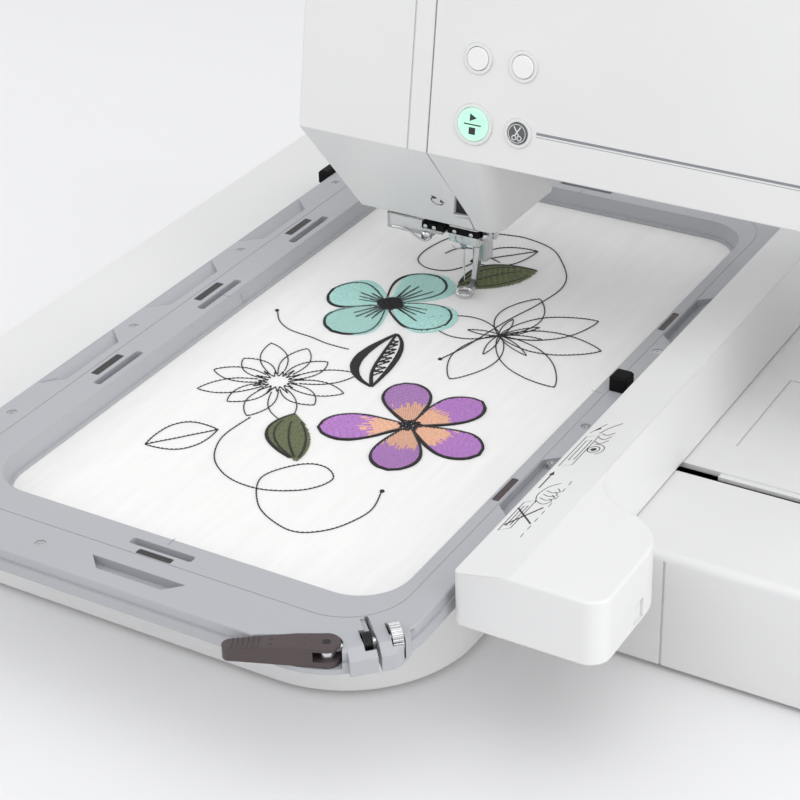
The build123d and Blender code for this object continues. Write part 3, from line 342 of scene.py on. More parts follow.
def solid_block(shape, low, high):
    """Adds a straight block between two corners."""
    points, faces = shape
    first = len(points)
    for z in (low[2], high[2]):
        points += [(low[0], low[1], z), (high[0], low[1], z), (high[0], high[1], z), (low[0], high[1], z)]
    quads = ((3, 2, 1, 0), (4, 5, 6, 7), (0, 1, 5, 4), (1, 2, 6, 5), (2, 3, 7, 6), (3, 0, 4, 7))
    faces += [tuple(first + corner for corner in quad) for quad in quads]


def bevelled(piece, width):
    """Rounds a piece's edges."""
    modifier = piece.modifiers.new("rounded", "BEVEL")
    modifier.width = width * MM
    modifier.segments = 3
    return piece


def stroke(shape, path, width, place, closed=False):
    """Adds a printed line of some width along a flat path, set on a surface by place(u, v)."""
    points, faces = shape
    first = len(points)
    count = len(path)
    for index in range(count):
        before = path[index - 1] if index or closed else path[0]
        after = path[(index + 1) % count] if index < count - 1 or closed else path[-1]
        along = Vector((after[0] - before[0], after[1] - before[1])).normalized()
        for half in (width / 2, -width / 2):
            points.append(place(path[index][0] - along.y * half, path[index][1] + along.x * half))
    for index in range(count if closed else count - 1):
        low = first + 2 * index
        high = first + 2 * ((index + 1) % count)
        faces.append((low, low + 1, high + 1, high))


def patch(shape, outline, place):
    """Adds a filled printed patch."""
    points, faces = shape
    first = len(points)
    points += [place(u, v) for u, v in outline]
    faces.append(tuple(range(first, len(points))))


def arc(centre, radius, start, end, steps=24):
    """Points of an arc between two angles in degrees."""
    turns = [math.radians(start + (end - start) * step / steps) for step in range(steps + 1)]
    return [(centre[0] + radius * math.cos(a), centre[1] + radius * math.sin(a)) for a in turns]


def smooth_path(knots, spacing):
    """A smooth curve through a few points, as evenly spaced points."""
    knots = [Vector(k) for k in knots]
    last = len(knots) - 1
    dense = []
    for index in range(last):
        a, b, c, d = (knots[min(max(index + shift, 0), last)] for shift in (-1, 0, 1, 2))
        for step in range(24):
            t = step / 24
            squared = (2 * a - 5 * b + 4 * c - d) * t * t
            cubed = (3 * b - a - 3 * c + d) * t**3
            dense.append(0.5 * (2 * b + (c - a) * t + squared + cubed))
    dense.append(knots[-1])
    return even(dense, spacing)


def even(path, spacing):
    """A path's points again, evenly spaced."""
    path = [Vector(p) for p in path]
    result, rest = [path[0]], spacing
    for a, b in zip(path, path[1:]):
        length = (b - a).length
        along = rest
        while along <= length and length > 0:
            result.append(a.lerp(b, along / length))
            along += spacing
        rest = along - length
    return result


def rounded_rectangle(x, y, radius, steps=14):
    """The outline of a rectangle with round corners, from the right of its front edge round."""
    outline = []
    for cx, cy, start in (
        (x[1] - radius, y[0] + radius, -90),
        (x[1] - radius, y[1] - radius, 0),
        (x[0] + radius, y[1] - radius, 90),
        (x[0] + radius, y[0] + radius, 180),
    ):
        outline += arc((cx, cy), radius, start, start + 90, steps)
    return outline


# ---------------------------------------------------------------- hooped cloth
CLOTH_X = (-242.4, 8.4)
CLOTH_Y = (-244.7, 219.4)
CLOTH_CORNER = 31.4
PUCKER = 0.22


def cloth_height(x, y):
    """The cloth's top: stretched flat at the rings, with faint puckers round the stitching."""
    inward = min(x + 218.0, -4.0 - x, y + 220.0, 195.0 - y)
    calm = max(0.0, min(1.0, inward / 30.0))
    ripple = fractal(Vector((x * 0.045, y * 0.045, 3.0))) + 0.4 * fractal(Vector((x * 0.13, y * 0.11, 9.0)))
    return CLOTH_TOP + 0.1 + PUCKER * calm * ripple


def cloth_lines(low, high, middle_steps, corner_steps=9):
    """Grid lines from edge to edge, with one just where each round corner begins."""
    inner = (low + CLOTH_CORNER, high - CLOTH_CORNER)
    lines = [low + CLOTH_CORNER * step / corner_steps for step in range(corner_steps)]
    lines += [inner[0] + (inner[1] - inner[0]) * step / middle_steps for step in range(middle_steps)]
    lines += [inner[1] + CLOTH_CORNER * step / corner_steps for step in range(corner_steps + 1)]
    return lines


def into_corner(x, y):
    """Moves a spot of the grid's corner squares into the round corner."""
    centre_x = max(CLOTH_X[0] + CLOTH_CORNER, min(CLOTH_X[1] - CLOTH_CORNER, x))
    centre_y = max(CLOTH_Y[0] + CLOTH_CORNER, min(CLOTH_Y[1] - CLOTH_CORNER, y))
    a, b = (x - centre_x) / CLOTH_CORNER, (y - centre_y) / CLOTH_CORNER
    return (
        centre_x + CLOTH_CORNER * a * math.sqrt(1 - b * b / 2),
        centre_y + CLOTH_CORNER * b * math.sqrt(1 - a * a / 2),
    )


def make_cloth():
    """The cloth as one even grid whose corner squares are drawn into the round corners."""
    columns = cloth_lines(*CLOTH_X, 54)
    rows = cloth_lines(*CLOTH_Y, 114)
    points, faces = [], []
    for y in rows:
        for x in columns:
            spot = into_corner(x, y)
            points.append((*spot, cloth_height(*spot)))
    wide = len(columns)
    for row in range(len(rows) - 1):
        for column in range(wide - 1):
            first = row * wide + column
            faces.append((first, first + 1, first + wide + 1, first + wide))
    cloth = make_piece("cloth", (points, faces), cloth_white, "hoop")
    thick = cloth.modifiers.new("thickness", "SOLIDIFY")
    thick.thickness = 0.5 * MM
    thick.offset = -1.0
    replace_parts(cloth, "hooped_fabric")


# ---------------------------------------------------------------- embroidery
STITCH = 0.33
FILL_STITCH = 0.45


def over(point, lift):
    """A point over the cloth."""
    return (point[0], point[1], cloth_height(point[0], point[1]) + lift)


def run_stitch(shape, path, radius=0.4, length=2.4):
    """A line of single stitches that dip into the cloth at their ends."""
    quarter = even(path, length / 4)
    lifts = (0.0, 0.22, 0.3, 0.22)
    sizes = (0.72, 1.0, 1.05, 1.0)
    spots = [over(p, lifts[index % 4]) for index, p in enumerate(quarter)]
    if len(spots) > 1:
        sweep(shape, spots, [radius * sizes[index % 4] for index in range(len(spots))])


def bar_stitch(shape, start, end, lift=0.35, radius=STITCH):
    """One stitch laid between two needle holes."""
    start, end = Vector(start), Vector(end)
    lifts = ((0.0, 0.05), (0.12, lift), (0.88, lift), (1.0, 0.05))
    sweep(shape, [over(start.lerp(end, share), height) for share, height in lifts], radius)


def satin(shape, path, widths, spacing=0.5):
    """A satin column: close stitches across a path, with a width along it as a function of 0..1."""
    spots = even(path, spacing)
    for index in range(1, len(spots) - 1):
        along = (spots[index + 1] - spots[index - 1]).normalized()
        half = widths(index / len(spots)) / 2 * random.uniform(0.92, 1.08)
        across = Vector((-along.y, along.x)) * half
        bar_stitch(shape, spots[index] - across, spots[index] + across + along * 0.2, 0.62, 0.36)


def fill_rows(outline, angle, spacing=0.95, length=5.0):
    """The stitches that fill an outline in straight rows at an angle, ends staggered row by row."""
    turn = math.radians(angle)
    along = Vector((math.cos(turn), math.sin(turn)))
    across = Vector((-along.y, along.x))
    flat = [(p.dot(along), p.dot(across)) for p in (Vector(q) for q in outline)]
    low = min(v for _, v in flat)
    high = max(v for _, v in flat)
    stitches = []
    row = 0
    level = low + spacing / 2
    while level < high:
        crossings = []
        for (u0, v0), (u1, v1) in zip(flat, flat[1:] + flat[:1]):
            if (v0 > level) != (v1 > level):
                crossings.append(u0 + (level - v0) / (v1 - v0) * (u1 - u0))
        crossings.sort()
        for start, end in zip(crossings[::2], crossings[1::2]):
            place = start - random.uniform(0.0, 0.4)
            step = length * (0.35 + 0.65 * ((row * 0.37) % 1.0))
            end += random.uniform(0.0, 0.4)
            while place < end - 0.8:
                stop = min(end, place + step)
                stitches.append((along * place + across * level, along * stop + across * level))
                place, step = stop, length
        row += 1
        level += spacing
    return stitches


def petal(centre, angle, length, width, fullness=1.35, start=0.0, sharp=0.8, steps=22):
    """A petal's closed outline from a flower's centre outwards, its end round or sharp."""
    turn = math.radians(angle)
    along = Vector((math.cos(turn), math.sin(turn)))
    across = Vector((-along.y, along.x))
    halves = []
    for step in range(steps + 1):
        t = start + (1 - start) * step / steps
        halves.append((t * length, width / 2 * max(0.0, math.sin(math.pi * t**fullness)) ** sharp))
    left = [Vector(centre) + along * u + across * v for u, v in halves]
    right = [Vector(centre) + along * u - across * v for u, v in reversed(halves[1:-1])]
    return left + right


def leaf(tip, foot, side_one, side_two, steps=18):
    """A pointed leaf's closed outline between a tip and a foot, through a point on each side."""
    outline = []
    for a, b, side in ((tip, foot, side_one), (foot, tip, side_two)):
        a, b, side = Vector(a), Vector(b), Vector(side)
        bend = 2 * side - (a + b) / 2
        for step in range(steps):
            t = step / steps
            outline.append((1 - t) ** 2 * a + 2 * t * (1 - t) * bend + t * t * b)
    return outline


def closed(outline):
    """An outline with its first point again at the end."""
    return list(outline) + [outline[0]]


TEAL_FLOWER = (-149.0, 38.0)
TEAL_PETALS = ((75, 46), (175, 38), (252, 44), (350, 44))
PURPLE_FLOWER = (-72.4, -73.1)
PURPLE_PETALS = ((350, 45), (61, 44), (123, 44), (209, 47), (285, 43))
DAISY = (-157.7, -65.7)
LINE_FLOWER = (-77.0, 34.0)


def outwards(centre, angle, far):
    """A point at a distance from a centre, in a direction in degrees."""
    turn = math.radians(angle)
    return Vector(centre) + Vector((math.cos(turn), math.sin(turn))) * far


def stitch_teal_flower(teal, black_thread):
    """Four filled petals, outlined a little aside of their fill, with ribs and a dark middle."""
    beside = (TEAL_FLOWER[0] - 2.0, TEAL_FLOWER[1] - 1.5)
    for angle, length in TEAL_PETALS:
        outline = petal(TEAL_FLOWER, angle, length, 34.0, 1.7, 0.1, 0.55)
        for start, end in fill_rows(outline, angle + 62):
            bar_stitch(teal, start, end, 0.4, FILL_STITCH)
        drawn = petal(beside, angle + 3, length - 1.5, 31.0, 1.65, 0.1, 0.55)
        satin(black_thread, closed(drawn), lambda t: 0.5 + 0.7 * math.sin(math.pi * t) ** 2)
        for spread in (-16, -5, 6, 17):
            reach = length * random.uniform(0.42, 0.62)
            rib = [outwards(TEAL_FLOWER, angle + spread, reach * t / 6) for t in range(7)]
            satin(black_thread, rib, lambda t: 1.7 - 1.1 * t)
    middle = petal((TEAL_FLOWER[0] - 8.5, TEAL_FLOWER[1]), 0, 17.0, 15.0, 1.0)
    for start, end in fill_rows(middle, 30, 0.5, 3.0):
        bar_stitch(black_thread, start, end, 0.7, 0.36)


def stitch_purple_flower(purple, peach, black_thread):
    """Five petals that turn from peach to purple, outlined, with knots in the middle."""
    for angle, length in PURPLE_PETALS:
        outline = petal(PURPLE_FLOWER, angle, length, 25.0, 1.7, 0.08, 0.55)
        for start, end in fill_rows(outline, angle, 0.95, 3.4):
            middle = ((start + end) / 2 - Vector(PURPLE_FLOWER)).length
            reach = length * (0.42 + 0.14 * random.random())
            bar_stitch(peach if middle < reach else purple, start, end, 0.4, FILL_STITCH)
        satin(black_thread, closed(outline), lambda t: 1.3 + 0.2 * math.sin(8 * math.pi * t))
    for knot in range(26):
        turn = knot * 2.4
        far = 1.1 * math.sqrt(knot)
        spot = Vector(PURPLE_FLOWER) + Vector((math.cos(turn), math.sin(turn))) * far
        bar_stitch(black_thread, spot - Vector((0.7, 0.2)), spot + Vector((0.7, 0.2)), 0.8, 0.5)


def stitch_green_leaves(green, black_thread):
    """Two filled leaves with a dark edge on one side and three ribs."""
    for tip, foot, one, two in (
        ((-131.0, -90.0), (-105.9, -129.2), (-133.6, -113.9), (-111.0, -108.0)),
        ((-94.1, 113.1), (-125.6, 73.8), (-124.0, 104.3), (-101.0, 88.7)),
    ):
        outline = leaf(tip, foot, one, two)
        lean = math.degrees(math.atan2(tip[1] - foot[1], tip[0] - foot[0]))
        for start, end in fill_rows(outline, lean + 24):
            bar_stitch(green, start, end, 0.4, FILL_STITCH)
        satin(black_thread, outline[:18], lambda t: 0.9 + 0.5 * math.sin(math.pi * t))
        for side, share in ((one, 0.25), (one, 0.75), (two, 0.7)):
            through = (Vector(tip) + Vector(foot)).lerp(2 * Vector(side), share) / 2
            satin(black_thread, leaf(tip, foot, through, two)[3:18], lambda t: 0.5 + 0.7 * t)


def stitch_banded_leaf(black_thread):
    """An open leaf with a heavy band down each side, a vein and a zigzag hatch."""
    tip, foot = (-127.9, 8.8), (-110.5, -47.8)
    outline = leaf(tip, foot, (-131.6, -28.5), (-115.6, -9.6))
    left_side, right_side = outline[:19], outline[18:] + outline[:1]
    satin(black_thread, left_side, lambda t: 0.9 + 4.6 * math.sin(math.pi * t) ** 1.6)
    satin(black_thread, right_side, lambda t: 0.9 + 1.9 * math.sin(math.pi * t) ** 1.6)
    vein = smooth_path((tip, (-123.3, -14.9), (-118.6, -33.5), foot), 1.0)
    satin(black_thread, vein, lambda t: 0.8 + 0.9 * t)
    edge = list(reversed(right_side))
    hatch = []
    for turn in range(17):
        t = 0.14 + turn * 0.043
        spot = vein[int(t * (len(vein) - 1))]
        if turn % 2:
            spot = spot.lerp(edge[int((t + 0.04) * (len(edge) - 1))], 0.72)
        hatch.append(spot)
    run_stitch(black_thread, hatch, 0.5)


def stitch_line_flowers(black_thread):
    """A daisy round a small star, and a flower of six pointed petals with narrow inner ones."""
    for number in range(12):
        length = 38.0 + 6.0 * math.sin(number * 2.1)
        run_stitch(black_thread, petal(DAISY, number * 30 + 8, length, 15.0, 1.25, 0.2), 0.36)
    star = []
    for point in range(30):
        far = random.choice((11.0, 14.0))
        star.append(outwards(DAISY, point * 12, far if point % 2 else 5.5))
    run_stitch(black_thread, closed(star), 0.36)
    for tip in ((-122.0, 33.0), (-78.0, -21.0), (-25.0, -3.0), (-20.0, 44.0), (-36.0, 74.0), (-77.0, 83.0)):
        toward = Vector(tip) - Vector(LINE_FLOWER)
        angle = math.degrees(math.atan2(toward.y, toward.x))
        run_stitch(black_thread, closed(petal(LINE_FLOWER, angle, toward.length, 25.0, 0.95)), 0.38)
        inner = petal(LINE_FLOWER, angle + 6, toward.length * 0.42, 4.5, 0.9)
        run_stitch(black_thread, closed(inner), 0.36)


LOWER_SCROLL = (
    (-150, -104), (-152, -127), (-143, -147), (-126, -158), (-107, -159), (-88, -149), (-81, -135),
    (-90, -127), (-103, -131), (-113, -150), (-101, -171), (-84, -181), (-70, -182), (-57, -171),
    (-50, -151), (-54, -133),
)
LEFT_SCROLL = ((-202, 2), (-194, -8), (-183, -14), (-168, -16), (-155, -18), (-142, -18))
INNER_SCROLL = ((-153, 109), (-149, 119), (-140, 122), (-128, 117), (-118, 113))
UPPER_SCROLL = (
    (-131, 116), (-134, 100), (-142, 89), (-155, 88), (-164, 96), (-165, 112), (-160, 130), (-153, 138),
    (-144, 144), (-131, 148), (-117, 149), (-99, 143), (-87, 131), (-76, 115), (-72, 99), (-75, 76),
    (-81, 53), (-87, 18), (-93, -5),
)


def stitch_scrolls(black_thread):
    """Two open leaves, the running scrolls between the flowers and the knots that end them."""
    for outline in (
        leaf((-182.7, -151.6), (-158.1, -121.9), (-179.3, -126.0), (-162.0, -144.6)),
        leaf((-134.8, 106.5), (-105.4, 136.7), (-127.6, 129.7), (-113.4, 111.5)),
    ):
        run_stitch(black_thread, closed(outline))
        run_stitch(black_thread, [outline[0], outline[18]])
    for knots in (LOWER_SCROLL, LEFT_SCROLL, INNER_SCROLL, UPPER_SCROLL):
        run_stitch(black_thread, smooth_path(knots, 0.6))
    for end in ((-53.8, -132.8), (-202.2, 1.9), (-93.0, -4.6)):
        puck(black_thread, over(end, 0.0), (0, 0, 1), 1.2, 0.7, 12)


def make_embroidery():
    """The stitched design, one piece for each colour of thread."""
    teal, purple, peach, green, black_thread = ([], []), ([], []), ([], []), ([], []), ([], [])
    stitch_teal_flower(teal, black_thread)
    stitch_purple_flower(purple, peach, black_thread)
    stitch_green_leaves(green, black_thread)
    stitch_banded_leaf(black_thread)
    stitch_line_flowers(black_thread)
    stitch_scrolls(black_thread)
    for name, shape, material in (
        ("embroidery_teal", teal, teal_thread),
        ("embroidery_purple", purple, purple_thread),
        ("embroidery_peach", peach, peach_thread),
        ("embroidery_green", green, green_thread),
        ("embroidery_black", black_thread, ink_thread),
    ):
        make_piece(name, shape, material, "hoop")


# ---------------------------------------------------------------- hoop details
def clamp_spot(along, out, z=CLAMP[2]):
    """A point by its distance along the clamp screw and outwards from it."""
    half = math.sqrt(0.5)
    return (CLAMP[0] + (along + out) * half, CLAMP[1] + (along - out) * half, z)


def make_clamp_spring():
    """The wound spring between the clamp's two ears."""
    half = math.sqrt(0.5)
    coil = ([], [])
    wire = []
    turns, steps = 4.5, 22
    for step in range(int(turns * steps) + 1):
        turn = 2 * math.pi * step / steps
        along = -5.1 + 3.8 * step / (turns * steps)
        out = 4.5 * math.cos(turn)
        wire.append(clamp_spot(along, out, CLAMP[2] + 4.5 * math.sin(turn)))
    sweep(coil, wire, 0.45, 8, (half, half, 0))
    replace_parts(make_piece("wound_spring", coil, black_steel, "hoop"), "clamp_spring")


def make_ring_marks():
    """The line between the rings, the marks at the middles of the sides and the nub on the wall."""
    line = ([], [])
    seam = rounded_rectangle((-242.85, 8.85), (-245.15, 219.85), 31.9)
    stroke(line, seam, 0.55, lambda u, v: (u, v, RING_TOP - 0.25), closed=True)
    make_piece("ring_seam_line", line, lip_gray, "hoop", False)

    marks = ([], [])
    along_sides = ((-226.0, -12.5, True), (4.0, -12.5, True))
    for u, v, across in ((-110.0, -229.5, False), (-110.0, 204.0, False), *along_sides):
        ends = [(u - 3.0, v), (u + 3.0, v)] if across else [(u, v - 3.0), (u, v + 3.0)]
        stroke(marks, ends, 0.5, lambda a, b: (a, b, RING_TOP + 0.03))
    stroke(marks, [(-257.5, -139.5), (-252.5, -132.0)], 0.7, lambda a, b: (a, b, RING_TOP + 0.03))
    make_piece("centre_marks", marks, stripe_gray, "hoop", False)
    nub = ([], [])
    solid_block(nub, (-224.6, -2.2, 73.4), (-222.4, 0.6, 78.6))
    bevelled(make_piece("ring_nub", nub, hoop_gray, "hoop", False), 0.5)


def make_lever_grip():
    """The lever's ribs near its tip, its two fine grooves and the dark end of its pin."""
    grip = ([], [])
    pivot = Vector(clamp_spot(CLAMP_PIVOT, 0.0)[:2])
    along = (Vector(LEVER_TIP) - pivot).normalized()
    across = Vector((-along.y, along.x))
    for rib in range(6):
        far = 30.0 + rib * 2.3
        top = 82.8 - (far - 14.0) * 0.1
        half_width = 5.6 - far * 0.052
        left = pivot + along * far + across * half_width
        right = pivot + along * far - across * half_width
        sweep(grip, [(left.x, left.y, top), (right.x, right.y, top)], 0.42, 8)
    make_piece("lever_ribs", grip, taupe, "clamp_lever")
    groove = ([], [])

    def on_lever(u, v):
        far = (Vector((u, v)) - pivot).dot(along)
        return (u, v, 82.85 - max(0.0, far - 14.0) * 0.1)

    for side in (2.6, -2.6):
        start = pivot + along * 9.0 + across * side
        end = pivot + along * 25.0 + across * side * 0.7
        stroke(groove, [start, end], 0.5, on_lever)
    puck(groove, (pivot.x, pivot.y, 82.62), (0, 0, 1), 1.8, 0.12, 20, 0.03)
    make_piece("lever_grooves", groove, dark_gap, "clamp_lever", False)


# ---------------------------------------------------------------- needle area
def make_clamp_bars():
    """The dark bar across the needle's clamp and the one on the threader."""
    bar = ([], [])
    solid_block(bar, (-125.4, 62.0, 111.4), (-105.1, 73.0, 115.7))
    bevelled(make_piece("needle_clamp_bar", bar, black, "needle_bar", False), 0.7)
    far_bar = ([], [])
    solid_block(far_bar, (-140.4, 60.0, 112.0), (-126.0, 66.5, 116.3))
    solid_block(far_bar, (-163.0, 66.0, 114.0), (-149.0, 70.0, 115.6))
    bevelled(make_piece("threader_bar", far_bar, black, "needle_threader", False), 0.5)


def make_needle_clamp():
    """The clamp's screws, its collar and thread guide, and the mark on the needle's shank."""
    x, y = NEEDLE
    bright = ([], [])
    for spot_x in (-120.0, -109.5):
        puck(bright, (spot_x, 62.1, 113.5), (0, -1, 0), 1.3, 1.1, 20)
    puck(bright, (-105.3, y, 112.0), (1, 0, 0), 3.1, 4.2, 20)
    puck(bright, (x, y, 104.2), (0, 0, 1), 2.5, 3.4, 20)
    guide = [(x - 3.0, 62.0, 110.0), (x - 4.0, 60.0, 106.5), (x - 1.0, 59.6, 104.6), (x + 2.0, 61.0, 105.6)]
    sweep(bright, smooth_path(guide, 0.5), 0.35, 8)
    make_piece("needle_clamp_screws", bright, steel, "needle_bar")
    tip = ([], [])
    puck(tip, (x, y, 101.6), (0, 0, 1), 1.5, 2.4, 16)
    make_piece("needle_shank_mark", tip, blue_steel, "needle_bar")


def make_threader_hook():
    """The threader's screws, its bent wire and its small hook block."""
    hook = ([], [])
    for spot_x in (-137.5, -132.0):
        puck(hook, (spot_x, 60.1, 114.0), (0, -1, 0), 1.3, 1.1, 20)
    wire = [(-162.0, 63.5, 107.0), (-152.0, 61.5, 108.5), (-144.0, 60.5, 105.5)]
    wire += [(-138.5, 60.5, 104.2), (-135.5, 61.5, 106.5)]
    sweep(hook, smooth_path(wire, 0.6), 0.6, 8)
    solid_block(hook, (-141.0, 60.6, 104.6), (-136.2, 64.4, 109.4))
    make_piece("threader_hook", hook, steel, "needle_threader")


def make_foot_fittings():
    """The foot's two screws and the round rim of its ring."""
    foot = ([], [])
    puck(foot, (-119.4, 85.0, 101.0), (-1, 0, 0), 2.6, 2.2, 20)
    puck(foot, (-115.0, 80.6, 98.5), (0, -1, 0), 1.8, 1.0, 20)
    ring = arc(NEEDLE, 4.4, 0, 360, 36)
    sweep(foot, [(u, v, 73.9) for u, v in ring], 1.0, 10)
    make_piece("foot_fittings", foot, steel, "presser")


def make_upper_thread():
    """The thread from the clamp's guide down along the needle."""
    x = NEEDLE[0]
    tail = ([], [])
    route = [(x + 0.3, 66.4, 85.0), (x - 0.4, 66.3, 92.0), (x + 0.3, 66.0, 99.0)]
    route += [(x + 0.6, 65.6, 105.0), (x + 1.2, 62.4, 109.0), (x + 0.5, 61.7, 111.4)]
    sweep(tail, smooth_path(route, 1.0), 0.26, 6)
    make_piece("upper_thread", tail, pale_thread, "needle_bar")


# ---------------------------------------------------------------- prints and small fittings
def on_face(middle_x, middle_z, lift):
    """Places flat drawings on the leaning front face, round a middle."""
    size = math.sqrt(1 + FACE_LEAN**2)
    base_y = FACE_FOOT[0] + FACE_LEAN * (middle_z - FACE_FOOT[1])
    return lambda u, v: (
        middle_x + u,
        base_y + (v * FACE_LEAN - lift) / size,
        middle_z + (v + lift * FACE_LEAN) / size,
    )


def on_strip(u, v):
    """Places flat drawings on the carriage's sloping strip."""
    rise = (STRIP_RIDGE[1] - STRIP_EDGE[1]) / (STRIP_RIDGE[0] - STRIP_EDGE[0])
    return (u, v, STRIP_EDGE[1] + rise * (u - STRIP_EDGE[0]) + 0.06)


def make_head_prints():
    """Button symbols, the double line along the arm and the small turning mark."""
    glyph = ([], [])
    place = on_face(*START_BUTTON, 1.55)
    patch(glyph, [(-1.7, 1.6), (2.3, 3.7), (-1.7, 5.8)], place)
    stroke(glyph, [(-5.0, 0.0), (5.0, 0.0)], 0.7, place)
    patch(glyph, [(-1.9, -5.2), (1.9, -5.2), (1.9, -1.5), (-1.9, -1.5)], place)
    make_piece("start_stop_symbol", glyph, ink, "start_stop_button", False)
    rim = ([], [])
    stroke(rim, arc((0, 0), 7.9, 0, 360, 48)[:-1], 0.5, place, closed=True)
    make_piece("start_stop_rim", rim, rim_white, "start_stop_button", False)
    cutter = ([], [])
    place = on_face(*CUTTER_BUTTON, 1.55)
    for side in (1, -1):
        stroke(cutter, [(-1.9 * side, 3.6), (1.2 * side, -1.2)], 0.6, place)
        stroke(cutter, arc((1.5 * side, -2.3), 1.15, 0, 360, 20)[:-1], 0.45, place, closed=True)
    stroke(cutter, arc((0, 0), 4.8, 0, 360, 40)[:-1], 0.3, place, closed=True)
    make_piece("scissors_symbol", cutter, rim_white, "thread_cutter_button", False)
    bars = ([], [])
    place = on_face(0.0, 202.5, 0.05)
    patch(bars, [(-48.4, -0.7), (170.6, -0.7), (170.6, 0.7), (-48.4, 0.7)], place)
    patch(bars, [(-48.4, -1.9), (170.6, -1.9), (170.6, -1.6), (-48.4, -1.6)], place)
    make_piece("arm_double_line", bars, stripe_gray, "machine", False)
    chin = (FACE_FOOT[0] - 53.0) / (181.0 - 122.0)
    mark = ([], [])

    def on_chin(u, v):
        z = 140.8 + v * 0.85
        return (-119.4 + u, FACE_FOOT[0] - chin * (181.0 - z) - 0.05, z - 0.03)

    stroke(mark, arc((0, 0), 3.4, 100, 340, 24), 0.7, on_chin)
    patch(mark, [(-2.2, 5.4), (1.4, 3.4), (-1.8, 1.6)], on_chin)
    patch(mark, [(1.6, -0.4), (4.8, -0.6), (3.0, 2.6)], on_chin)
    make_piece("turning_mark", mark, ink, "face_cover", False)
    dark = ([], [])

    def behind_chin(u, v):
        return (u, FACE_FOOT[0] - chin * (181.0 - v) + 2.9, v)

    patch(dark, [(-112.8, 131.6), (-103.0, 131.6), (-104.0, 140.0), (-106.2, 149.0)], behind_chin)
    make_piece("finger_notch_shade", dark, dark_gap, "face_cover", False)


def make_strip_prints():
    """Two generic line drawings on the carriage: sliding the hoop on, and turning the lock."""
    draw = ([], [])
    fine = 0.42

    def box_lines(u, v, wide, long, lean=0.0):
        corners = [(u, v), (u + wide, v + lean), (u + wide, v + long + lean), (u, v + long)]
        stroke(draw, corners, fine, on_strip, closed=True)

    def curve(knots, width):
        stroke(draw, smooth_path(knots, 0.6), width, on_strip)

    box_lines(28.5, -168.0, 5.0, 26.0, 3.0)
    box_lines(30.2, -163.5, 1.8, 18.0, 1.0)
    stroke(draw, [(28.0, -147.0), (41.0, -160.0)], 0.9, on_strip)
    stroke(draw, [(29.0, -163.0), (40.0, -145.0)], 0.9, on_strip)
    for finger in range(4):
        knuckle = [(34.0, -140.0 + finger * 3.4), (38.0, -142.0 + finger * 3.6)]
        knuckle += [(41.0, -139.0 + finger * 3.0), (38.5, -136.5 + finger * 3.2)]
        curve(knuckle, fine)
    curve([(34.0, -141.0), (31.5, -134.0), (33.5, -126.0), (38.0, -122.0)], fine)
    stroke(draw, [(29.0, -128.0), (29.0, -114.0)], 0.7, on_strip)
    patch(draw, [(27.6, -115.0), (30.4, -115.0), (29.0, -111.5)], on_strip)
    for dash in range(8):
        stroke(draw, [(42.0, -172.0 + dash * 7.0), (42.0, -168.5 + dash * 7.0)], 0.35, on_strip)
    box_lines(28.5, -106.0, 6.0, 30.0, 2.0)
    box_lines(30.5, -100.0, 2.4, 20.0, 1.0)
    stroke(draw, arc((38.0, -88.0), 3.0, 0, 360, 28)[:-1], 0.5, on_strip, closed=True)
    patch(draw, arc((38.0, -88.0), 1.5, 0, 360, 20)[:-1], on_strip)
    stroke(draw, arc((38.0, -88.0), 5.2, -60, 110, 20), fine, on_strip)
    for finger in range(3):
        curve([(35.0, -80.0 + finger * 4.0), (38.5, -82.0 + finger * 4.4), (41.5, -78.0 + finger * 4.0)], 0.5)
    curve([(33.5, -72.0), (36.0, -66.0), (41.0, -60.0)], 0.5)
    stroke(draw, [(28.5, -72.0), (33.0, -62.0)], fine, on_strip)
    patch(draw, [(29.6, -70.0), (31.0, -66.0), (32.4, -67.0)], on_strip)
    make_piece("carriage_drawings", draw, ink, "carriage", False)


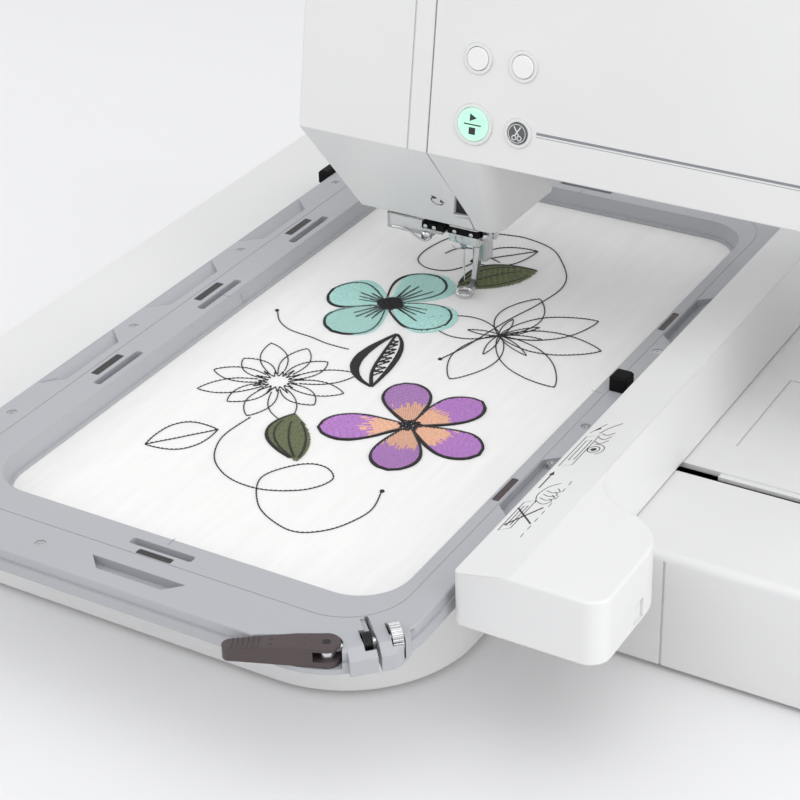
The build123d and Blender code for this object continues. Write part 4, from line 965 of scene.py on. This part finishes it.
def make_shell_fittings():
    """Screws, vents and the screen's plain tiles on the sides that face away."""
    heads = ([], [])
    for spot_x in REAR_SCREWS_X:
        puck(heads, (spot_x, 164.9, REAR_SCREWS_Z), (0, 1, 0), 3.2, 0.7, 24)
    for spot_x in (-186.0, 60.0, 300.0):
        puck(heads, (spot_x, 195.9, 18.0), (0, 1, 0), 3.2, 0.7, 24)
    make_piece("casing_screws", heads, steel, "machine")
    slots = ([], [])
    for row in range(7):
        z = 120.0 + row * 7.0
        stroke(slots, [(66.0, z), (118.0, z)], 2.6, lambda u, v: (318.06, u, v))
        stroke(slots, [(198.0, z), (292.0, z)], 2.6, lambda u, v: (u, 165.06, v))
    for row in range(4):
        z = 24.0 + row * 7.0
        stroke(slots, [(180.0, z), (290.0, z)], 2.6, lambda u, v: (u, 196.06, v))
    for spot_x in REAR_SCREWS_X:
        level_slot = [(spot_x - 2.0, REAR_SCREWS_Z), (spot_x + 2.0, REAR_SCREWS_Z)]
        upright_slot = [(spot_x, REAR_SCREWS_Z - 2.0), (spot_x, REAR_SCREWS_Z + 2.0)]
        for slot in (level_slot, upright_slot):
            stroke(slots, slot, 0.7, lambda u, v: (u, 165.7, v))
    make_piece("vent_slots", slots, dark_gap, "machine", False)
    frame_line = ([], [])
    place = on_face(*SCREEN_MIDDLE, 0.07)
    edge = rounded_rectangle((-54.0, 54.0), (-41.0, 41.0), 2.0, 6)
    stroke(frame_line, edge, 0.4, place, closed=True)
    make_piece("screen_border", frame_line, stripe_gray, "machine", False)
    tiles = ([], [])
    for column in range(3):
        for row in range(2):
            left = -46.0 + column * 32.0
            low = -34.0 + row * 31.0
            patch(tiles, rounded_rectangle((left, left + 27.0), (low, low + 26.0), 3.0, 6), place)
    patch(tiles, rounded_rectangle((-46.0, 45.0), (30.0, 36.0), 1.5, 5), place)
    make_piece("screen_tiles", tiles, tile_gray, "machine", False)
    symbols = ([], [])
    above = on_face(*SCREEN_MIDDLE, 0.14)
    for column in range(3):
        for row in range(2):
            middle = (-32.5 + column * 32.0, -21.0 + row * 31.0)
            if (column + row) % 2:
                for number in range(5):
                    drawn = petal(middle, number * 72 + 18, 8.0, 5.0, 1.2)
                    stroke(symbols, drawn, 0.6, above, closed=True)
            else:
                sides = (middle[0] - 7, middle[0] + 7), (middle[1] - 8, middle[1] + 8)
                stroke(symbols, rounded_rectangle(*sides, 3.0, 5), 0.7, above, closed=True)
    make_piece("screen_symbols", symbols, rim_white, "machine", False)


make_cloth()
make_embroidery()
make_clamp_spring()
make_ring_marks()
make_lever_grip()
make_clamp_bars()
make_needle_clamp()
make_threader_hook()
make_foot_fittings()
make_upper_thread()
make_head_prints()
make_strip_prints()
make_shell_fittings()

# ---------------------------------------------------------------- camera, light and floor
CAMERA_PLACE = (403.5, -878.2, 634.4)
CAMERA_AZIMUTH = math.radians(30.88)
CAMERA_ELEVATION = math.radians(30.33)
CAMERA_ROLL = math.radians(-1.53)
CAMERA_LENS = 95.83


def make_camera():
    """The camera at the photograph's angle, with its small roll."""
    azimuth, elevation, roll = CAMERA_AZIMUTH, CAMERA_ELEVATION, CAMERA_ROLL
    level_share = math.cos(elevation)
    back = Vector((math.sin(azimuth) * level_share, -math.cos(azimuth) * level_share, math.sin(elevation)))
    level = Vector((math.cos(azimuth), math.sin(azimuth), 0.0))
    above = back.cross(level)
    right = math.cos(roll) * level + math.sin(roll) * above
    up = math.cos(roll) * above - math.sin(roll) * level
    data = bpy.data.cameras.new("camera")
    data.lens = CAMERA_LENS
    data.sensor_width = 36.0
    data.clip_start, data.clip_end = 0.05, 20.0
    camera = bpy.data.objects.new("camera", data)
    bpy.context.scene.collection.objects.link(camera)
    matrix = Matrix((right, up, back)).transposed().to_4x4()
    matrix.translation = Vector(CAMERA_PLACE) * MM
    camera.matrix_world = matrix
    bpy.context.scene.camera = camera


def area_light(name, place, aim, size, power, colour=(1, 1, 1)):
    """A soft box at a place in metres, turned to a point."""
    data = bpy.data.lights.new(name, "AREA")
    data.shape = "RECTANGLE"
    data.size, data.size_y = size
    data.energy = power
    data.color = colour
    light = bpy.data.objects.new(name, data)
    bpy.context.scene.collection.objects.link(light)
    light.location = place
    light.rotation_euler = (Vector(place) - Vector(aim)).to_track_quat("Z", "Y").to_euler()


def make_stage():
    """A wide pale floor under an even white sky."""
    mesh = bpy.data.meshes.new("floor")
    reach = 6.0
    corners = [(-reach, -reach, 0), (reach, -reach, 0), (reach, reach, 0), (-reach, reach, 0)]
    mesh.from_pydata(corners, [], [(0, 1, 2, 3)])
    floor = bpy.data.objects.new("floor", mesh)
    bpy.context.scene.collection.objects.link(floor)
    material, tree, shader = new_material("floor")
    tint = ramp(tree, noise(tree, 2.0), ((0.3, (0.77, 0.77, 0.775)), (0.7, (0.79, 0.79, 0.795))))
    tree.links.new(tint, shader.inputs["Base Color"])
    tree.links.new(tint, shader.inputs["Emission Color"])
    shader.inputs["Emission Strength"].default_value = 0.08
    shader.inputs["Roughness"].default_value = 0.9
    mesh.materials.append(material)
    world = bpy.data.worlds.new("studio")
    world.use_nodes = True
    world.node_tree.nodes["Background"].inputs["Color"].default_value = (0.985, 0.99, 1.0, 1.0)
    world.node_tree.nodes["Background"].inputs["Strength"].default_value = 0.80
    bpy.context.scene.world = world
    area_light("key", (0.6, -0.5, 1.8), (0.0, 0.0, 0.1), (1.8, 1.8), 10.0)
    area_light("right", (1.7, -0.1, 0.6), (0.0, 0.0, 0.1), (1.2, 0.8), 8.0)
    area_light("front", (0.1, -1.9, 1.3), (0.0, 0.0, 0.1), (1.8, 0.8), 3.0)
    area_light("left", (-1.4, -0.4, 0.6), (0.1, -0.1, 0.1), (1.0, 0.6), 3.0)
    bpy.context.scene.view_settings.view_transform = "Standard"


make_camera()
make_stage()
